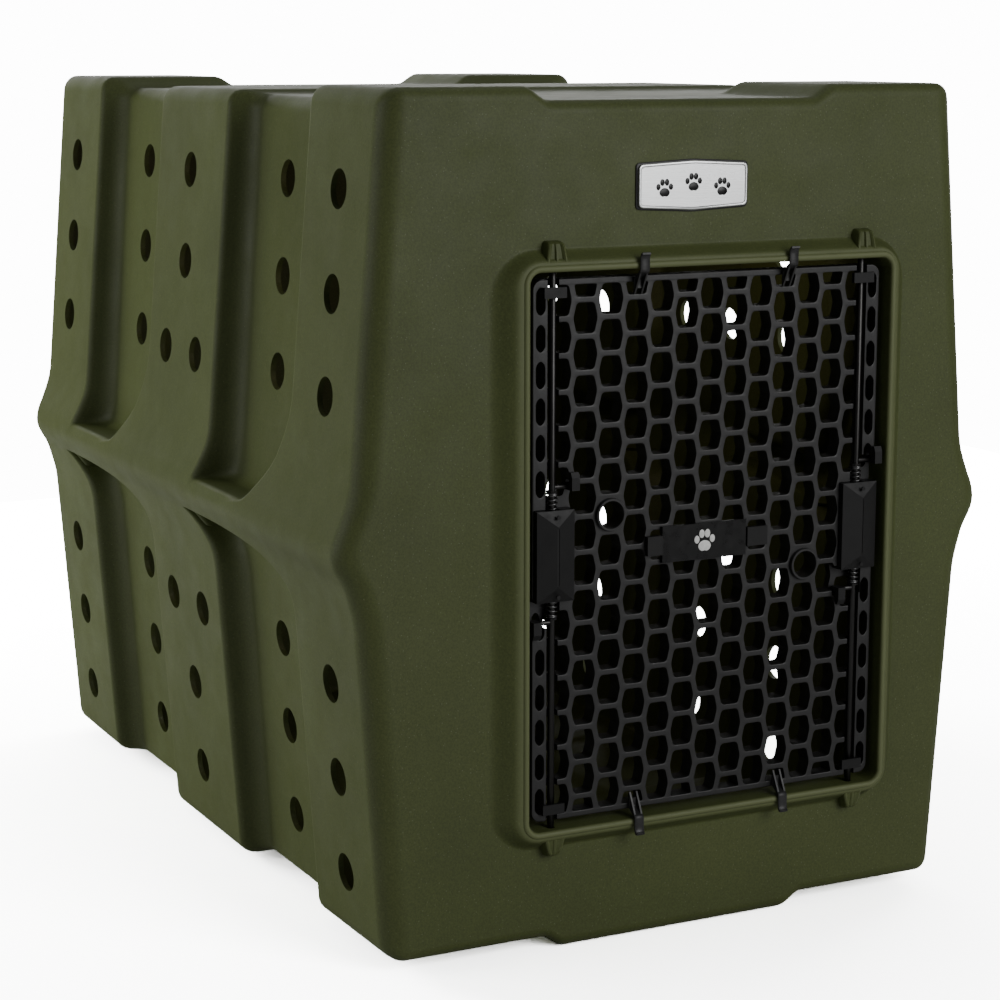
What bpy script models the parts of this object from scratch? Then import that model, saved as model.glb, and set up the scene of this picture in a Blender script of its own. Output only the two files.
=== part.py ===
"""Rotomoulded pet transport carrier with a hinged honeycomb door and sprung latch rods.

Metres, +Z up. The door is on -Y. z = 0 is the underside of the centre foot ridge.
X = 0 is the middle of the shell. The door sits a little to +X of the middle.
"""

import math

import bmesh
import bpy
from mathutils import Matrix, Vector

# ---- driving sizes: shell -------------------------------------------------
HEIGHT = 0.748            # underside of the foot ridge to the top of the corner pads
LENGTH = 0.890            # front wall to back wall
FRONT_Y = -0.435          # outer face of the front wall
WALL = 0.005              # moulded wall thickness
HALF_TOP = 0.2795         # half width at the top
HALF_WAIST_HI = 0.3075    # half width just above the belt
HALF_BELT = 0.3245        # half width at the belt, the widest place
HALF_WAIST_LO = 0.3040    # half width just under the belt
HALF_BASE = 0.2830        # half width at the bottom
BELT_TOP = 0.375
BELT_LOW = 0.358
WAIST_HI_Z = 0.418
WAIST_LO_Z = 0.309
END_RADIUS = 0.020        # vertical corners
CAP_RADIUS = 0.012        # front and back edges of the top and bottom
EDGE_RADIUS = 0.016       # long edges between the sides and the top or bottom

# ---- ribs and channels ----------------------------------------------------
CHANNEL_DEPTH = 0.023
CHANNEL_NEAR = 0.097      # channel edge nearest the middle, from the middle in Y
CHANNEL_FAR = 0.285       # channel edge nearest the end wall
CHANNEL_SLOPE = 0.012     # how far a channel wall leans in over its depth
LEDGE_Z = 0.379           # where the upper channels stop above the belt
APEX_Z = 0.344            # where the lower channels start under the belt
UPPER_SWEEP = 0.078       # rearward curve of the upper channels' front edge
LOWER_SWEEP = 0.225       # rearward curve of the lower channels' front edge
APEX_REACH = 0.058        # how far the lower channels' tip runs back

# ---- top recess and foot ridge --------------------------------------------
PAD_STEP = 0.0115         # corner pads stand this far above the recess and the channels
BAND_STEP = 0.0070        # corner pads stand this far above the middle band
RECESS_FLOOR = 0.1275     # half width of the recess floor
RECESS_TOP = 0.1525       # half width of the recess at pad level
RIDGE_DROP = 0.011        # foot ridge below the side ribs
RIDGE_FLOOR = 0.1125
RIDGE_TOP = 0.1345

# ---- vent holes -----------------------------------------------------------
HOLE_R = 0.0175
HOLE_SIDES = 8
HOLE_Z_HIGH = (0.6640, 0.5770, 0.4910)
HOLE_Z_LOW = (0.2425, 0.1585, 0.0716)
RIB_HOLE_Y = 0.3633
CHANNEL_HOLE_Y = 0.1913
PAIR_HALF = 0.0422

# ---- door frame moulded into the front wall -------------------------------
DOOR_X = 0.0245           # door centre
DOOR_Z = 0.355
LIP_HALF_X = 0.1805       # inner edge of the lip
LIP_HALF_Z = 0.2410
LIP_CORNER = 0.010
CREST_OUT = 0.0148        # lip crest in front of the wall
PLATEAU_OUT = 0.0126
TUNNEL_DEEP = 0.032       # doorway wall behind the front face
LIP_WIDE = 0.005
PLATEAU_WIDE = 0.0108
FLANK_WIDE = 0.0259
BOSS_HALF = 0.009
BOSS_REACH = 0.023        # socket boss beyond the lip's inner edge

# ---- door -----------------------------------------------------------------
GRID_HALF_X = 0.174
GRID_HALF_Z = 0.2345
GRID_FACE_BACK = 0.0104   # door face behind the lip crest
GRID_THICK = 0.016
CELL_X = 0.0248           # column pitch
CELL_Z = 0.0309           # row pitch
CELL_HALF_FLAT = 0.0083
CELL_HALF_WIDE = 0.0114
CELL_HALF_TALL = 0.01295
COLUMNS = 13
ROWS = 15
SLOT_X = 0.1665
PORT_R = 0.0120
SLOT_HALF = 0.0042
GROOVE_HALF = 0.0055
GROOVE_DEEP = 0.0064

# ---- latch rods -----------------------------------------------------------
ROD_X = 0.1547            # rod axis from the door centre
ROD_R = 0.0030
ROD_BEHIND_CREST = 0.0121
ROD_TIP = 0.2545          # rod tip from the door centre
ROD_END = 0.031           # rod's inner end from the door centre
LEG_Z = 0.0585            # bent leg from the door centre
LEG_R = 0.0022
LEG_LONG = 0.0215
SOCKET_R = 0.0036
SOCKET_DEEP = 0.2575
ROD_SIDES = 10

SPRING_R = 0.0044
SPRING_WIRE = 0.0007
SPRING_FOOT = 0.0155
SPRING_TURNS = 6
SPRING_STEPS = 6

PLAQUE_X = -0.0065        # plaque centre from the door centre
PLAQUE_HALF_X = 0.0425
PLAQUE_HALF_Z = 0.0160

COVER_HALF_X = 0.018
COVER_HALF_Z = 0.0395
COVER_EAVE = 0.0060
COVER_RIDGE = 0.0115
COVER_WALL = 0.0018

GAP = 0.0004              # clearance kept between touching pieces

# ---- worked out -----------------------------------------------------------
BACK_Y = FRONT_Y + LENGTH
MID_Y = FRONT_Y + LENGTH / 2
CREST_Y = FRONT_Y - CREST_OUT
PLATEAU_Y = FRONT_Y - PLATEAU_OUT
TUNNEL_Y = FRONT_Y + TUNNEL_DEEP
FACE_Y = CREST_Y + GRID_FACE_BACK
ROD_Y = CREST_Y + ROD_BEHIND_CREST
POCKET_Y = FACE_Y + 0.0085
HINGE_X = DOOR_X + ROD_X

MATERIALS = {
    "shell": ((0.060, 0.068, 0.030, 1), 0.0, 0.62),
    "black": ((0.012, 0.012, 0.012, 1), 0.0, 0.50),
    "steel": ((0.55, 0.55, 0.54, 1), 1.0, 0.28),
    "badge": ((0.60, 0.60, 0.60, 1), 0.9, 0.35),
}


# ---- helpers --------------------------------------------------------------
def clear_scene():
    for obj in list(bpy.data.objects):
        bpy.data.objects.remove(obj, do_unlink=True)


def add_material(obj, kind):
    colour, metallic, rough = MATERIALS[kind]
    mat = bpy.data.materials.new("mat_" + obj.name)
    mat.use_nodes = True
    shader = mat.node_tree.nodes["Principled BSDF"]
    shader.inputs["Base Color"].default_value = colour
    shader.inputs["Metallic"].default_value = metallic
    shader.inputs["Roughness"].default_value = rough
    mat.diffuse_color = colour
    obj.data.materials.clear()
    obj.data.materials.append(mat)


def mesh_object(name, bm, kind=None, smooth=False):
    """Turn a bmesh into an object with outward normals."""
    bmesh.ops.recalc_face_normals(bm, faces=bm.faces)
    mesh = bpy.data.meshes.new(name)
    bm.to_mesh(mesh)
    bm.free()
    obj = bpy.data.objects.new(name, mesh)
    bpy.context.scene.collection.objects.link(obj)
    if smooth:
        shade_round(obj)
    if kind:
        add_material(obj, kind)
    return obj


def add_prism(bm, outline, axis, low, high):
    """Extrude a 2-D outline along X, Y or Z between two levels."""
    order = {"x": (2, 0, 1), "y": (0, 2, 1), "z": (0, 1, 2)}[axis]
    rings = []
    for level in (low, high):
        ring = []
        for u, v in outline:
            full = (u, v, level)
            ring.append(bm.verts.new([full[k] for k in order]))
        rings.append(ring)
    count = len(outline)
    bm.faces.new(rings[0])
    bm.faces.new(list(reversed(rings[1])))
    for k in range(count):
        nxt = (k + 1) % count
        bm.faces.new((rings[0][k], rings[0][nxt], rings[1][nxt], rings[1][k]))


def add_box(bm, x0, x1, y0, y1, z0, z1):
    add_prism(bm, [(x0, y0), (x1, y0), (x1, y1), (x0, y1)], "z", z0, z1)


def circle(cu, cv, radius, sides, turn=0.5):
    step = 2 * math.pi / sides
    return [(cu + radius * math.cos((k + turn) * step),
             cv + radius * math.sin((k + turn) * step)) for k in range(sides)]


def sweep_tube(bm, points, radius, sides, up=Vector((0, 1, 0))):
    """Closed tube along a list of points, with flat ends."""
    pts = [Vector(p) for p in points]
    rings = []
    for k, here in enumerate(pts):
        before = pts[max(k - 1, 0)]
        after = pts[min(k + 1, len(pts) - 1)]
        along = (after - before).normalized()
        side = along.cross(up).normalized()
        lift = side.cross(along).normalized()
        ring = []
        for j in range(sides):
            angle = 2 * math.pi * j / sides
            ring.append(bm.verts.new(here + side * radius * math.cos(angle)
                                     + lift * radius * math.sin(angle)))
        rings.append(ring)
    for k in range(len(rings) - 1):
        for j in range(sides):
            nxt = (j + 1) % sides
            bm.faces.new((rings[k][j], rings[k][nxt], rings[k + 1][nxt], rings[k + 1][j]))
    bm.faces.new(rings[0])
    bm.faces.new(list(reversed(rings[-1])))


def boolean(obj, cutter, operation):
    """Apply one exact boolean and throw the cutter away."""
    cutter.hide_render = True
    cutter.display_type = "WIRE"
    mod = obj.modifiers.new(operation.lower(), "BOOLEAN")
    mod.operation = operation
    mod.solver = "EXACT"
    mod.object = cutter
    depsgraph = bpy.context.evaluated_depsgraph_get()
    mesh = bpy.data.meshes.new_from_object(obj.evaluated_get(depsgraph))
    obj.modifiers.clear()
    old = obj.data
    obj.data = mesh
    bpy.data.meshes.remove(old)
    bpy.data.objects.remove(cutter, do_unlink=True)


def shade_round(obj):
    """Smooth the round faces and keep the real edges sharp."""
    for poly in obj.data.polygons:
        poly.use_smooth = True
    obj.data.set_sharp_from_angle(angle=math.radians(46))


def set_origin(obj, point):
    """Move the object's origin to a point without moving its mesh."""
    obj.data.transform(Matrix.Translation(-Vector(point)))
    obj.location = point


# ---- shell surface --------------------------------------------------------
def lerp_table(z, table):
    for (z0, v0), (z1, v1) in zip(table, table[1:]):
        if z <= z1:
            t = max(0.0, (z - z0) / (z1 - z0))
            return v0 + (v1 - v0) * t
    return table[-1][1]


RIB_SIDE = (
    (RIDGE_DROP, HALF_BASE), (WAIST_LO_Z, HALF_WAIST_LO), (APEX_Z, HALF_WAIST_LO + 0.010),
    (BELT_LOW, HALF_BELT), (BELT_TOP, HALF_BELT), (LEDGE_Z + 0.016, HALF_WAIST_HI + 0.008),
    (WAIST_HI_Z, HALF_WAIST_HI), (HEIGHT, HALF_TOP),
)
FLOOR_SIDE = (
    (RIDGE_DROP, HALF_BASE - CHANNEL_DEPTH), (APEX_Z, HALF_WAIST_LO - CHANNEL_DEPTH),
    (LEDGE_Z, HALF_WAIST_HI - CHANNEL_DEPTH), (HEIGHT, HALF_TOP - CHANNEL_DEPTH),
)
# Section rows down the side: (z, how the cavity's row moves, belt row or not).
SIDE_ROWS = (
    (0.605, 0, False), (0.479, 0, False), (0.445, 0, False), (0.415, 0, False),
    (0.395, 0, False), (LEDGE_Z + 0.001, -1, False), (LEDGE_Z, -1, True),
    (BELT_TOP, -0.8, True), (BELT_LOW, 0.8, True), (APEX_Z, 1, True),
    (APEX_Z - 0.002, 1, False), (0.335, 0.4, False), (0.323, 0, False),
    (0.307, 0, False), (0.280, 0, False), (0.145, 0, False),
)


def arc_points(cx, cz, radius, start, end, steps):
    """Points round an arc in degrees, both ends included."""
    out = []
    for k in range(steps + 1):
        angle = math.radians(start + (end - start) * k / steps)
        out.append((cx + radius * math.cos(angle), cz + radius * math.sin(angle)))
    return out


def corner(half, level, radius, upper, steps):
    """Rounded corner between a side and the top or the bottom."""
    if upper:
        return arc_points(half - radius, level - radius, radius, 90, 4, steps)
    return arc_points(half - radius, level + radius, radius, -4, -90, steps)


def half_ring(inset, cap, wall, band=False, steps=2):
    """Right half of a section, top centre to bottom centre.

    Each entry is (rib point, channel point, resting height). inset and cap draw the sides
    and the top and bottom in at the rounded ends, and wall draws it all in for the cavity.
    The middle band runs level across the top, with no pads.
    """
    draw = inset + wall
    drop = cap + wall
    top = HEIGHT - drop - (BAND_STEP if band else 0.0)
    top_in = HEIGHT - drop - PAD_STEP
    mid = top if band else top_in
    base = RIDGE_DROP + drop
    base_in = base + 0.0056
    r = max(EDGE_RADIUS - draw, 0.0022)
    half = HALF_TOP - draw
    ring = [((0.0, mid), (0.0, top_in), 1.0)]
    ring.append(((RECESS_FLOOR, mid), (RECESS_FLOOR, top_in), 1.0))
    ring.append(((RECESS_TOP, top), (RECESS_TOP, top_in), 1.0))
    ribs = corner(half, top, r, True, steps)
    floors = corner(half - CHANNEL_DEPTH, top_in, r, True, steps)
    ring += [(a, b, 1.0) for a, b in zip(ribs, floors)]
    for z, move, belt in SIDE_ROWS:
        outer = lerp_table(z, RIB_SIDE) - draw
        inner = outer if belt else lerp_table(z, FLOOR_SIDE) - draw
        level = z + move * wall
        ring.append(((outer, level), (inner, level), z))
    half = HALF_BASE - draw
    ribs = corner(half, base, r, False, steps)
    floors = corner(half - CHANNEL_DEPTH, base_in, r, False, steps)
    ring += [(a, b, 0.0) for a, b in zip(ribs, floors)]
    ring.append(((RIDGE_TOP, base), (RIDGE_TOP, base_in), 0.0))
    ring.append(((RIDGE_FLOOR, drop), (RIDGE_FLOOR, drop), 0.0))
    ring.append(((0.0, drop), (0.0, drop), 0.0))
    return ring


def front_sweep(z):
    """How far a channel's front edge has curved to the rear at a height."""
    if z > LEDGE_Z:
        return UPPER_SWEEP * max(0.0, (0.479 - z) / (0.479 - LEDGE_Z)) ** 1.5
    if z > APEX_Z:
        blend = (z - APEX_Z) / (LEDGE_Z - APEX_Z)
        return LOWER_SWEEP + (UPPER_SWEEP - LOWER_SWEEP) * blend
    t = max(0.0, (z - 0.271) / (APEX_Z - 0.271))
    return LOWER_SWEEP * (1 - math.sqrt(max(0.0, 1 - t * t))) ** 1.7


def rear_sweep(z):
    """How far a channel's rear edge has curved to the rear at a height."""
    if z > APEX_Z:
        return APEX_REACH * max(0.0, (LEDGE_Z - z) / (LEDGE_Z - APEX_Z))
    return APEX_REACH * max(0.0, (z - 0.271) / (APEX_Z - 0.271)) ** 4


def channel_y(near, far, place, z, wall):
    """Y of one of a channel's six stations at a height."""
    rear = max(near, far) + rear_sweep(z) + 0.6 * wall
    front = min(near, far) + front_sweep(z) - 0.6 * wall
    slope = min(CHANNEL_SLOPE, 0.42 * (rear - front))
    steps = (0.0, 0.35, 1.0)
    if place < 3:
        return MID_Y + rear - steps[place] * slope
    return MID_Y + front + steps[5 - place] * slope


def end_station(t_deg, wall, front):
    """Rounded end: (y, side inset, cap inset) at an angle from the flat end face."""
    t = math.radians(t_deg)
    radius = END_RADIUS - wall
    run = radius * (1 - math.cos(t))
    cap = CAP_RADIUS - wall
    rest = max(0.0, cap - run)
    y = wall + run
    return (FRONT_Y + y if front else BACK_Y - y, radius * (1 - math.sin(t)),
            cap - math.sqrt(cap * cap - rest * rest))


def shell_line(wall, y, inset, cap, channel=None, place=0):
    """One full section loop at a station."""
    depth = (0.0, 0.7, 1.0, 1.0, 0.7, 0.0)[place]
    band = channel is not None and (channel[0] > 0) == (place > 2)
    half = []
    for rib, floor, level in half_ring(inset, cap, wall, band):
        at = channel_y(channel[0], channel[1], place, level, wall) if channel else y
        half.append((rib[0] + (floor[0] - rib[0]) * depth, at,
                     rib[1] + (floor[1] - rib[1]) * depth))
    return half + [(-x, at, z) for x, at, z in half[-2:0:-1]]


def shell_lines(wall):
    """Every section loop, back to front."""
    rounds = (0, 45, 90)
    lines = [shell_line(wall, *end_station(deg, wall, False)) for deg in rounds]
    for channel in ((CHANNEL_NEAR, CHANNEL_FAR), (-CHANNEL_NEAR, -CHANNEL_FAR)):
        for place in range(6):
            lines.append(shell_line(wall, 0.0, 0.0, 0.0, channel, place))
    lines += [shell_line(wall, *end_station(deg, wall, True)) for deg in reversed(rounds)]
    return lines


def shell_body(name, wall):
    """Closed body from the section loops; wall draws it in for the cavity."""
    bm = bmesh.new()
    rows = [[bm.verts.new(p) for p in line] for line in shell_lines(wall)]
    count = len(rows[0])
    for a, b in zip(rows, rows[1:]):
        for k in range(count):
            nxt = (k + 1) % count
            bm.faces.new((a[k], a[nxt], b[nxt], b[k]))
    bm.faces.new(rows[0])
    bm.faces.new(list(reversed(rows[-1])))
    return mesh_object(name, bm)


# ---- door frame -----------------------------------------------------------
def frame_section():
    """Wall section of the moulded frame: (offset from the lip's inner edge, y)."""
    w = WALL
    crest = CREST_Y
    flat = PLATEAU_Y
    return [
        (0.0, TUNNEL_Y), (0.0, crest + 0.0018), (0.0014, crest), (0.0034, crest),
        (LIP_WIDE, flat), (PLATEAU_WIDE, flat), (FLANK_WIDE, FRONT_Y),
        (FLANK_WIDE - 0.0003, FRONT_Y + 0.0021), (FLANK_WIDE - 0.0088, FRONT_Y + 0.0029),
        (PLATEAU_WIDE - 0.002, flat + w), (w, flat + w + 0.001), (w, TUNNEL_Y),
    ]


def rounded_rect(half_x, half_z, radius, steps):
    pts = []
    for sx, sz, start in ((1, 1, 0), (-1, 1, 90), (-1, -1, 180), (1, -1, 270)):
        pts += arc_points(sx * (half_x - radius), sz * (half_z - radius), radius,
                          start, start + 90, steps)
    return pts


def frame_body(name, steps=3):
    bm = bmesh.new()
    loops = []
    for offset, y in frame_section():
        line = rounded_rect(LIP_HALF_X + offset, LIP_HALF_Z + offset, LIP_CORNER + offset, steps)
        loops.append([bm.verts.new((DOOR_X + x, y, DOOR_Z + z)) for x, z in line])
    count = len(loops[0])
    for k, loop in enumerate(loops):
        after = loops[(k + 1) % len(loops)]
        for j in range(count):
            nxt = (j + 1) % count
            bm.faces.new((loop[j], loop[nxt], after[nxt], after[j]))
    return mesh_object(name, bm)


def boss_body(name):
    """Four tapered socket bosses above and below the lip."""
    bm = bmesh.new()
    for sx in (-1, 1):
        for sz in (-1, 1):
            x = DOOR_X + sx * ROD_X
            near = DOOR_Z + sz * (LIP_HALF_Z + 0.0031)
            far = DOOR_Z + sz * (LIP_HALF_Z + BOSS_REACH)
            outline = [(FRONT_Y + 0.0032, near), (PLATEAU_Y + 0.0009, near),
                       (PLATEAU_Y + 0.0022, far - sz * 0.003), (FRONT_Y + 0.0032, far)]
            add_prism(bm, outline, "x", x - BOSS_HALF, x + BOSS_HALF)
    return mesh_object(name, bm)


def socket_cutter(name):
    bm = bmesh.new()
    for sx in (-1, 1):
        for sz in (-1, 1):
            ends = sorted((DOOR_Z + sz * (LIP_HALF_Z - 0.004), DOOR_Z + sz * SOCKET_DEEP))
            outline = circle(DOOR_X + sx * ROD_X, ROD_Y, SOCKET_R, ROD_SIDES)
            add_prism(bm, outline, "z", ends[0], ends[1])
    return mesh_object(name, bm)


def hole_places():
    """Vent hole centres on one side: (y from the middle, z)."""
    places = []
    for z in HOLE_Z_HIGH + HOLE_Z_LOW:
        for y in (RIB_HOLE_Y, CHANNEL_HOLE_Y):
            places += [(y, z), (-y, z)]
    for z in (HOLE_Z_HIGH[0], HOLE_Z_HIGH[1], HOLE_Z_LOW[1], HOLE_Z_LOW[2]):
        places.append((0.0, z))
    for z in (HOLE_Z_HIGH[2], HOLE_Z_LOW[0]):
        places += [(-PAIR_HALF, z), (PAIR_HALF, z)]
    return places


def hole_cutter(name):
    bm = bmesh.new()
    for y, z in hole_places():
        add_prism(bm, circle(MID_Y + y, z, HOLE_R, HOLE_SIDES), "x", -0.40, 0.40)
    return mesh_object(name, bm)


def opening_cutter(name):
    bm = bmesh.new()
    grow = FLANK_WIDE - 0.0043
    outline = rounded_rect(LIP_HALF_X + grow, LIP_HALF_Z + grow, LIP_CORNER + grow, 3)
    outline = [(DOOR_X + x, DOOR_Z + z) for x, z in outline]
    add_prism(bm, outline, "y", FRONT_Y - 0.02, FRONT_Y + 0.03)
    return mesh_object(name, bm)


def build_shell():
    shell = shell_body("shell", 0.0)
    boolean(shell, shell_body("cavity", WALL), "DIFFERENCE")
    boolean(shell, opening_cutter("opening"), "DIFFERENCE")
    boolean(shell, hole_cutter("vents"), "DIFFERENCE")
    boolean(shell, frame_body("frame"), "UNION")
    boolean(shell, boss_body("bosses"), "UNION")
    boolean(shell, socket_cutter("sockets"), "DIFFERENCE")
    add_material(shell, "shell")
    return shell


# ---- door grid ------------------------------------------------------------
def cell_outline(cx, cz, cut_top=None, cut_low=None):
    """Tall flat-topped hexagon, or the half of one that a rail cuts off."""
    f, w, h = CELL_HALF_FLAT, CELL_HALF_WIDE, CELL_HALF_TALL
    if cut_top is not None:
        return [(cx - f, cz - h), (cx + f, cz - h), (cx + w - 0.0006, cut_top),
                (cx - w + 0.0006, cut_top)]
    if cut_low is not None:
        return [(cx - w + 0.0006, cut_low), (cx + w - 0.0006, cut_low), (cx + f, cz + h),
                (cx - f, cz + h)]
    return [(cx - f, cz - h), (cx + f, cz - h), (cx + w, cz), (cx + f, cz + h),
            (cx - f, cz + h), (cx - w, cz)]


def is_port(column, row):
    return (column, row) in ((-4, 1), (4, -1))


def under_latch(x, z):
    """The door is solid behind the two latches."""
    return abs(x) > 0.135 and abs(z) < 0.046


def grid_cells():
    """Outlines of every opening in the door, about the door's own centre."""
    cells = []
    half_rows = ROWS // 2
    bar = CELL_Z / 2 - CELL_HALF_TALL
    for column in range(-(COLUMNS // 2), COLUMNS // 2 + 1):
        x = column * CELL_X
        if column % 2 == 0:
            for row in range(-half_rows, half_rows + 1):
                if is_port(column, row):
                    cells.append(circle(x, row * CELL_Z, PORT_R, 12))
                elif not under_latch(x, row * CELL_Z):
                    cells.append(cell_outline(x, row * CELL_Z))
            continue
        for row in range(-half_rows, half_rows):
            cells.append(cell_outline(x, (row + 0.5) * CELL_Z))
        end = (half_rows + 0.5) * CELL_Z
        cells.append(cell_outline(x, end, cut_top=end - bar))
        cells.append(cell_outline(x, -end, cut_low=-end + bar))
    for side in (-1, 1):
        for row in range(-half_rows, half_rows + 1):
            x = side * SLOT_X
            z = row * CELL_Z
            s = SLOT_HALF
            if under_latch(x, z):
                continue
            cells.append([(x - s, z - 0.008), (x, z - 0.0125), (x + s, z - 0.008),
                          (x + s, z + 0.008), (x, z + 0.0125), (x - s, z + 0.008)])
    return cells


def add_outlines(bm, outlines, y0, y1):
    for outline in outlines:
        add_prism(bm, [(DOOR_X + x, DOOR_Z + z) for x, z in outline], "y", y0, y1)


def latch_spots():
    """Each rod: side in X, side in Z, and the way its bent leg points."""
    return [("left_upper", -1, 1, 1), ("left_lower", -1, -1, -1),
            ("right_upper", 1, 1, 1), ("right_lower", 1, -1, -1)]


def rect(x0, x1, z0, z1):
    return [(x0, z0), (x1, z0), (x1, z1), (x0, z1)]


def plate_outline():
    return rounded_rect(GRID_HALF_X, GRID_HALF_Z, 0.009, 3)


def build_grid():
    bm = bmesh.new()
    add_outlines(bm, [plate_outline()], FACE_Y, FACE_Y + GRID_THICK)
    grid = mesh_object("door_grid", bm)
    bm = bmesh.new()
    add_outlines(bm, grid_cells(), FACE_Y - 0.01, FACE_Y + GRID_THICK + 0.01)
    boolean(grid, mesh_object("cells", bm), "DIFFERENCE")
    cuts = []
    for side in (-1, 1):
        x = side * ROD_X
        cuts.append(rect(x - GROOVE_HALF, x + GROOVE_HALF, -0.26, 0.26))
    bm = bmesh.new()
    add_outlines(bm, cuts, FACE_Y - 0.01, FACE_Y + GROOVE_DEEP)
    boolean(grid, mesh_object("grooves", bm), "DIFFERENCE")
    boolean(grid, base_pockets("base_pockets"), "DIFFERENCE")
    boolean(grid, leg_pockets("leg_pockets"), "DIFFERENCE")
    add_material(grid, "black")
    return grid


def base_pockets(name):
    """Room in the door face for the covers' bases and the springs."""
    bm = bmesh.new()
    outlines = []
    for side in (-1, 1):
        x = side * ROD_X
        outlines.append(rect(x - 0.0185, x + 0.0185, -0.0400, 0.0400))
    add_outlines(bm, outlines, FACE_Y - 0.01, POCKET_Y)
    return mesh_object(name, bm)


def leg_pockets(name):
    """Room in the door face for the bent legs and their travel."""
    bm = bmesh.new()
    outlines = []
    for _, sx, sz, way in latch_spots():
        x = sx * ROD_X
        xs = sorted((x - way * 0.0070, x + way * (LEG_LONG + 0.002)))
        zs = sorted((sz * 0.0365, sz * (LEG_Z + 0.0050)))
        outlines.append(rect(xs[0], xs[1], zs[0], zs[1]))
    add_outlines(bm, outlines, FACE_Y - 0.01, POCKET_Y)
    return mesh_object(name, bm)


# ---- rods, springs and latch parts ----------------------------------------
def build_rod(spot, sx, sz, way):
    x = DOOR_X + sx * ROD_X
    low, high = sorted((DOOR_Z + sz * ROD_END, DOOR_Z + sz * ROD_TIP))
    bm = bmesh.new()
    add_prism(bm, circle(x, ROD_Y, ROD_R, ROD_SIDES), "z", low, high)
    rod = mesh_object(spot + "_rod", bm)
    bm = bmesh.new()
    ends = sorted((x, x + way * LEG_LONG))
    add_prism(bm, circle(ROD_Y, DOOR_Z + sz * LEG_Z, LEG_R, 8), "x", ends[0], ends[1])
    boolean(rod, mesh_object("leg", bm), "UNION")
    add_material(rod, "steel")
    shade_round(rod)
    return rod


def build_tab(spot, sx, sz, way):
    """Finger tab moulded over the end of the bent leg."""
    x = DOOR_X + sx * ROD_X + way * (LEG_LONG - 0.0035)
    z = DOOR_Z + sz * LEG_Z
    bm = bmesh.new()
    near = z - sz * 0.0030
    far = z + sz * 0.0125
    outline = [(ROD_Y + 0.0032, near), (ROD_Y - 0.0098, near), (ROD_Y - 0.0098, z + sz * 0.008),
               (ROD_Y - 0.0075, far), (ROD_Y - 0.0045, far), (ROD_Y - 0.0045, z + sz * 0.0030),
               (ROD_Y + 0.0032, z + sz * 0.0030)]
    add_prism(bm, outline, "x", x - 0.0038, x + 0.0038)
    tab = mesh_object(spot + "_finger_tab", bm)
    bm = bmesh.new()
    add_prism(bm, circle(ROD_Y, z, LEG_R + GAP, 8), "x", x - 0.02, x + 0.02)
    boolean(tab, mesh_object("leg_hole", bm), "DIFFERENCE")
    add_material(tab, "black")
    return tab


def build_collar(spot, sx, sz):
    """Split ring pressed on the rod just past the leg, where the spring pushes."""
    x = DOOR_X + sx * ROD_X
    z = DOOR_Z + sz * (LEG_Z - LEG_R - 0.0012)
    bm = bmesh.new()
    outer = circle(x, ROD_Y, 0.0050, 10)
    low, high = sorted((z - 0.0008, z + 0.0008))
    add_prism(bm, outer, "z", low, high)
    collar = mesh_object(spot + "_retainer", bm)
    bm = bmesh.new()
    add_prism(bm, circle(x, ROD_Y, ROD_R + GAP, 10), "z", low - 0.01, high + 0.01)
    boolean(collar, mesh_object("bore", bm), "DIFFERENCE")
    add_material(collar, "steel")
    shade_round(collar)
    return collar


def build_spring(spot, sx, sz):
    x = DOOR_X + sx * ROD_X
    start = DOOR_Z + sz * (SPRING_FOOT + SPRING_WIRE + GAP)
    end = DOOR_Z + sz * (LEG_Z - LEG_R - 0.0020 - SPRING_WIRE - GAP)
    steps = SPRING_TURNS * SPRING_STEPS
    points = []
    for k in range(steps + 1):
        angle = 2 * math.pi * k / SPRING_STEPS
        points.append((x + SPRING_R * math.cos(angle), ROD_Y + SPRING_R * math.sin(angle),
                       start + (end - start) * k / steps))
    bm = bmesh.new()
    sweep_tube(bm, points, SPRING_WIRE, 4, up=Vector((0, 0, 1)))
    return mesh_object(spot + "_spring", bm, "steel", smooth=True)


def build_base(side_name, sx):
    """Black block behind the cover: the springs' seat."""
    x = DOOR_X + sx * ROD_X
    back = POCKET_Y - GAP
    bm = bmesh.new()
    add_box(bm, x - 0.0055, x + 0.0055, FACE_Y - COVER_EAVE + 0.002, back,
            DOOR_Z - SPRING_FOOT, DOOR_Z + SPRING_FOOT)
    return mesh_object(side_name + "_latch_base", bm, "black")


def cover_solid(name, x, grow, ridge, eave, back):
    """Hipped roof block: vertical ridge, sloping ends."""
    hx = COVER_HALF_X - grow
    hz = COVER_HALF_Z - grow
    hip = hz - 0.0135
    bm = bmesh.new()
    spots = [(-hx, eave, -hz), (hx, eave, -hz), (hx, eave, hz), (-hx, eave, hz)]
    top = [bm.verts.new((x + a, FACE_Y - b, DOOR_Z + c)) for a, b, c in spots]
    base = [bm.verts.new((x + a, FACE_Y + back, DOOR_Z + c)) for a, b, c in spots]
    low = bm.verts.new((x, FACE_Y - ridge, DOOR_Z - hip))
    high = bm.verts.new((x, FACE_Y - ridge, DOOR_Z + hip))
    bm.faces.new(base)
    for k in range(4):
        nxt = (k + 1) % 4
        bm.faces.new((base[k], base[nxt], top[nxt], top[k]))
    bm.faces.new((top[0], top[1], low))
    bm.faces.new((top[2], top[3], high))
    bm.faces.new((top[1], top[2], high, low))
    bm.faces.new((top[3], top[0], low, high))
    return mesh_object(name, bm)


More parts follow.
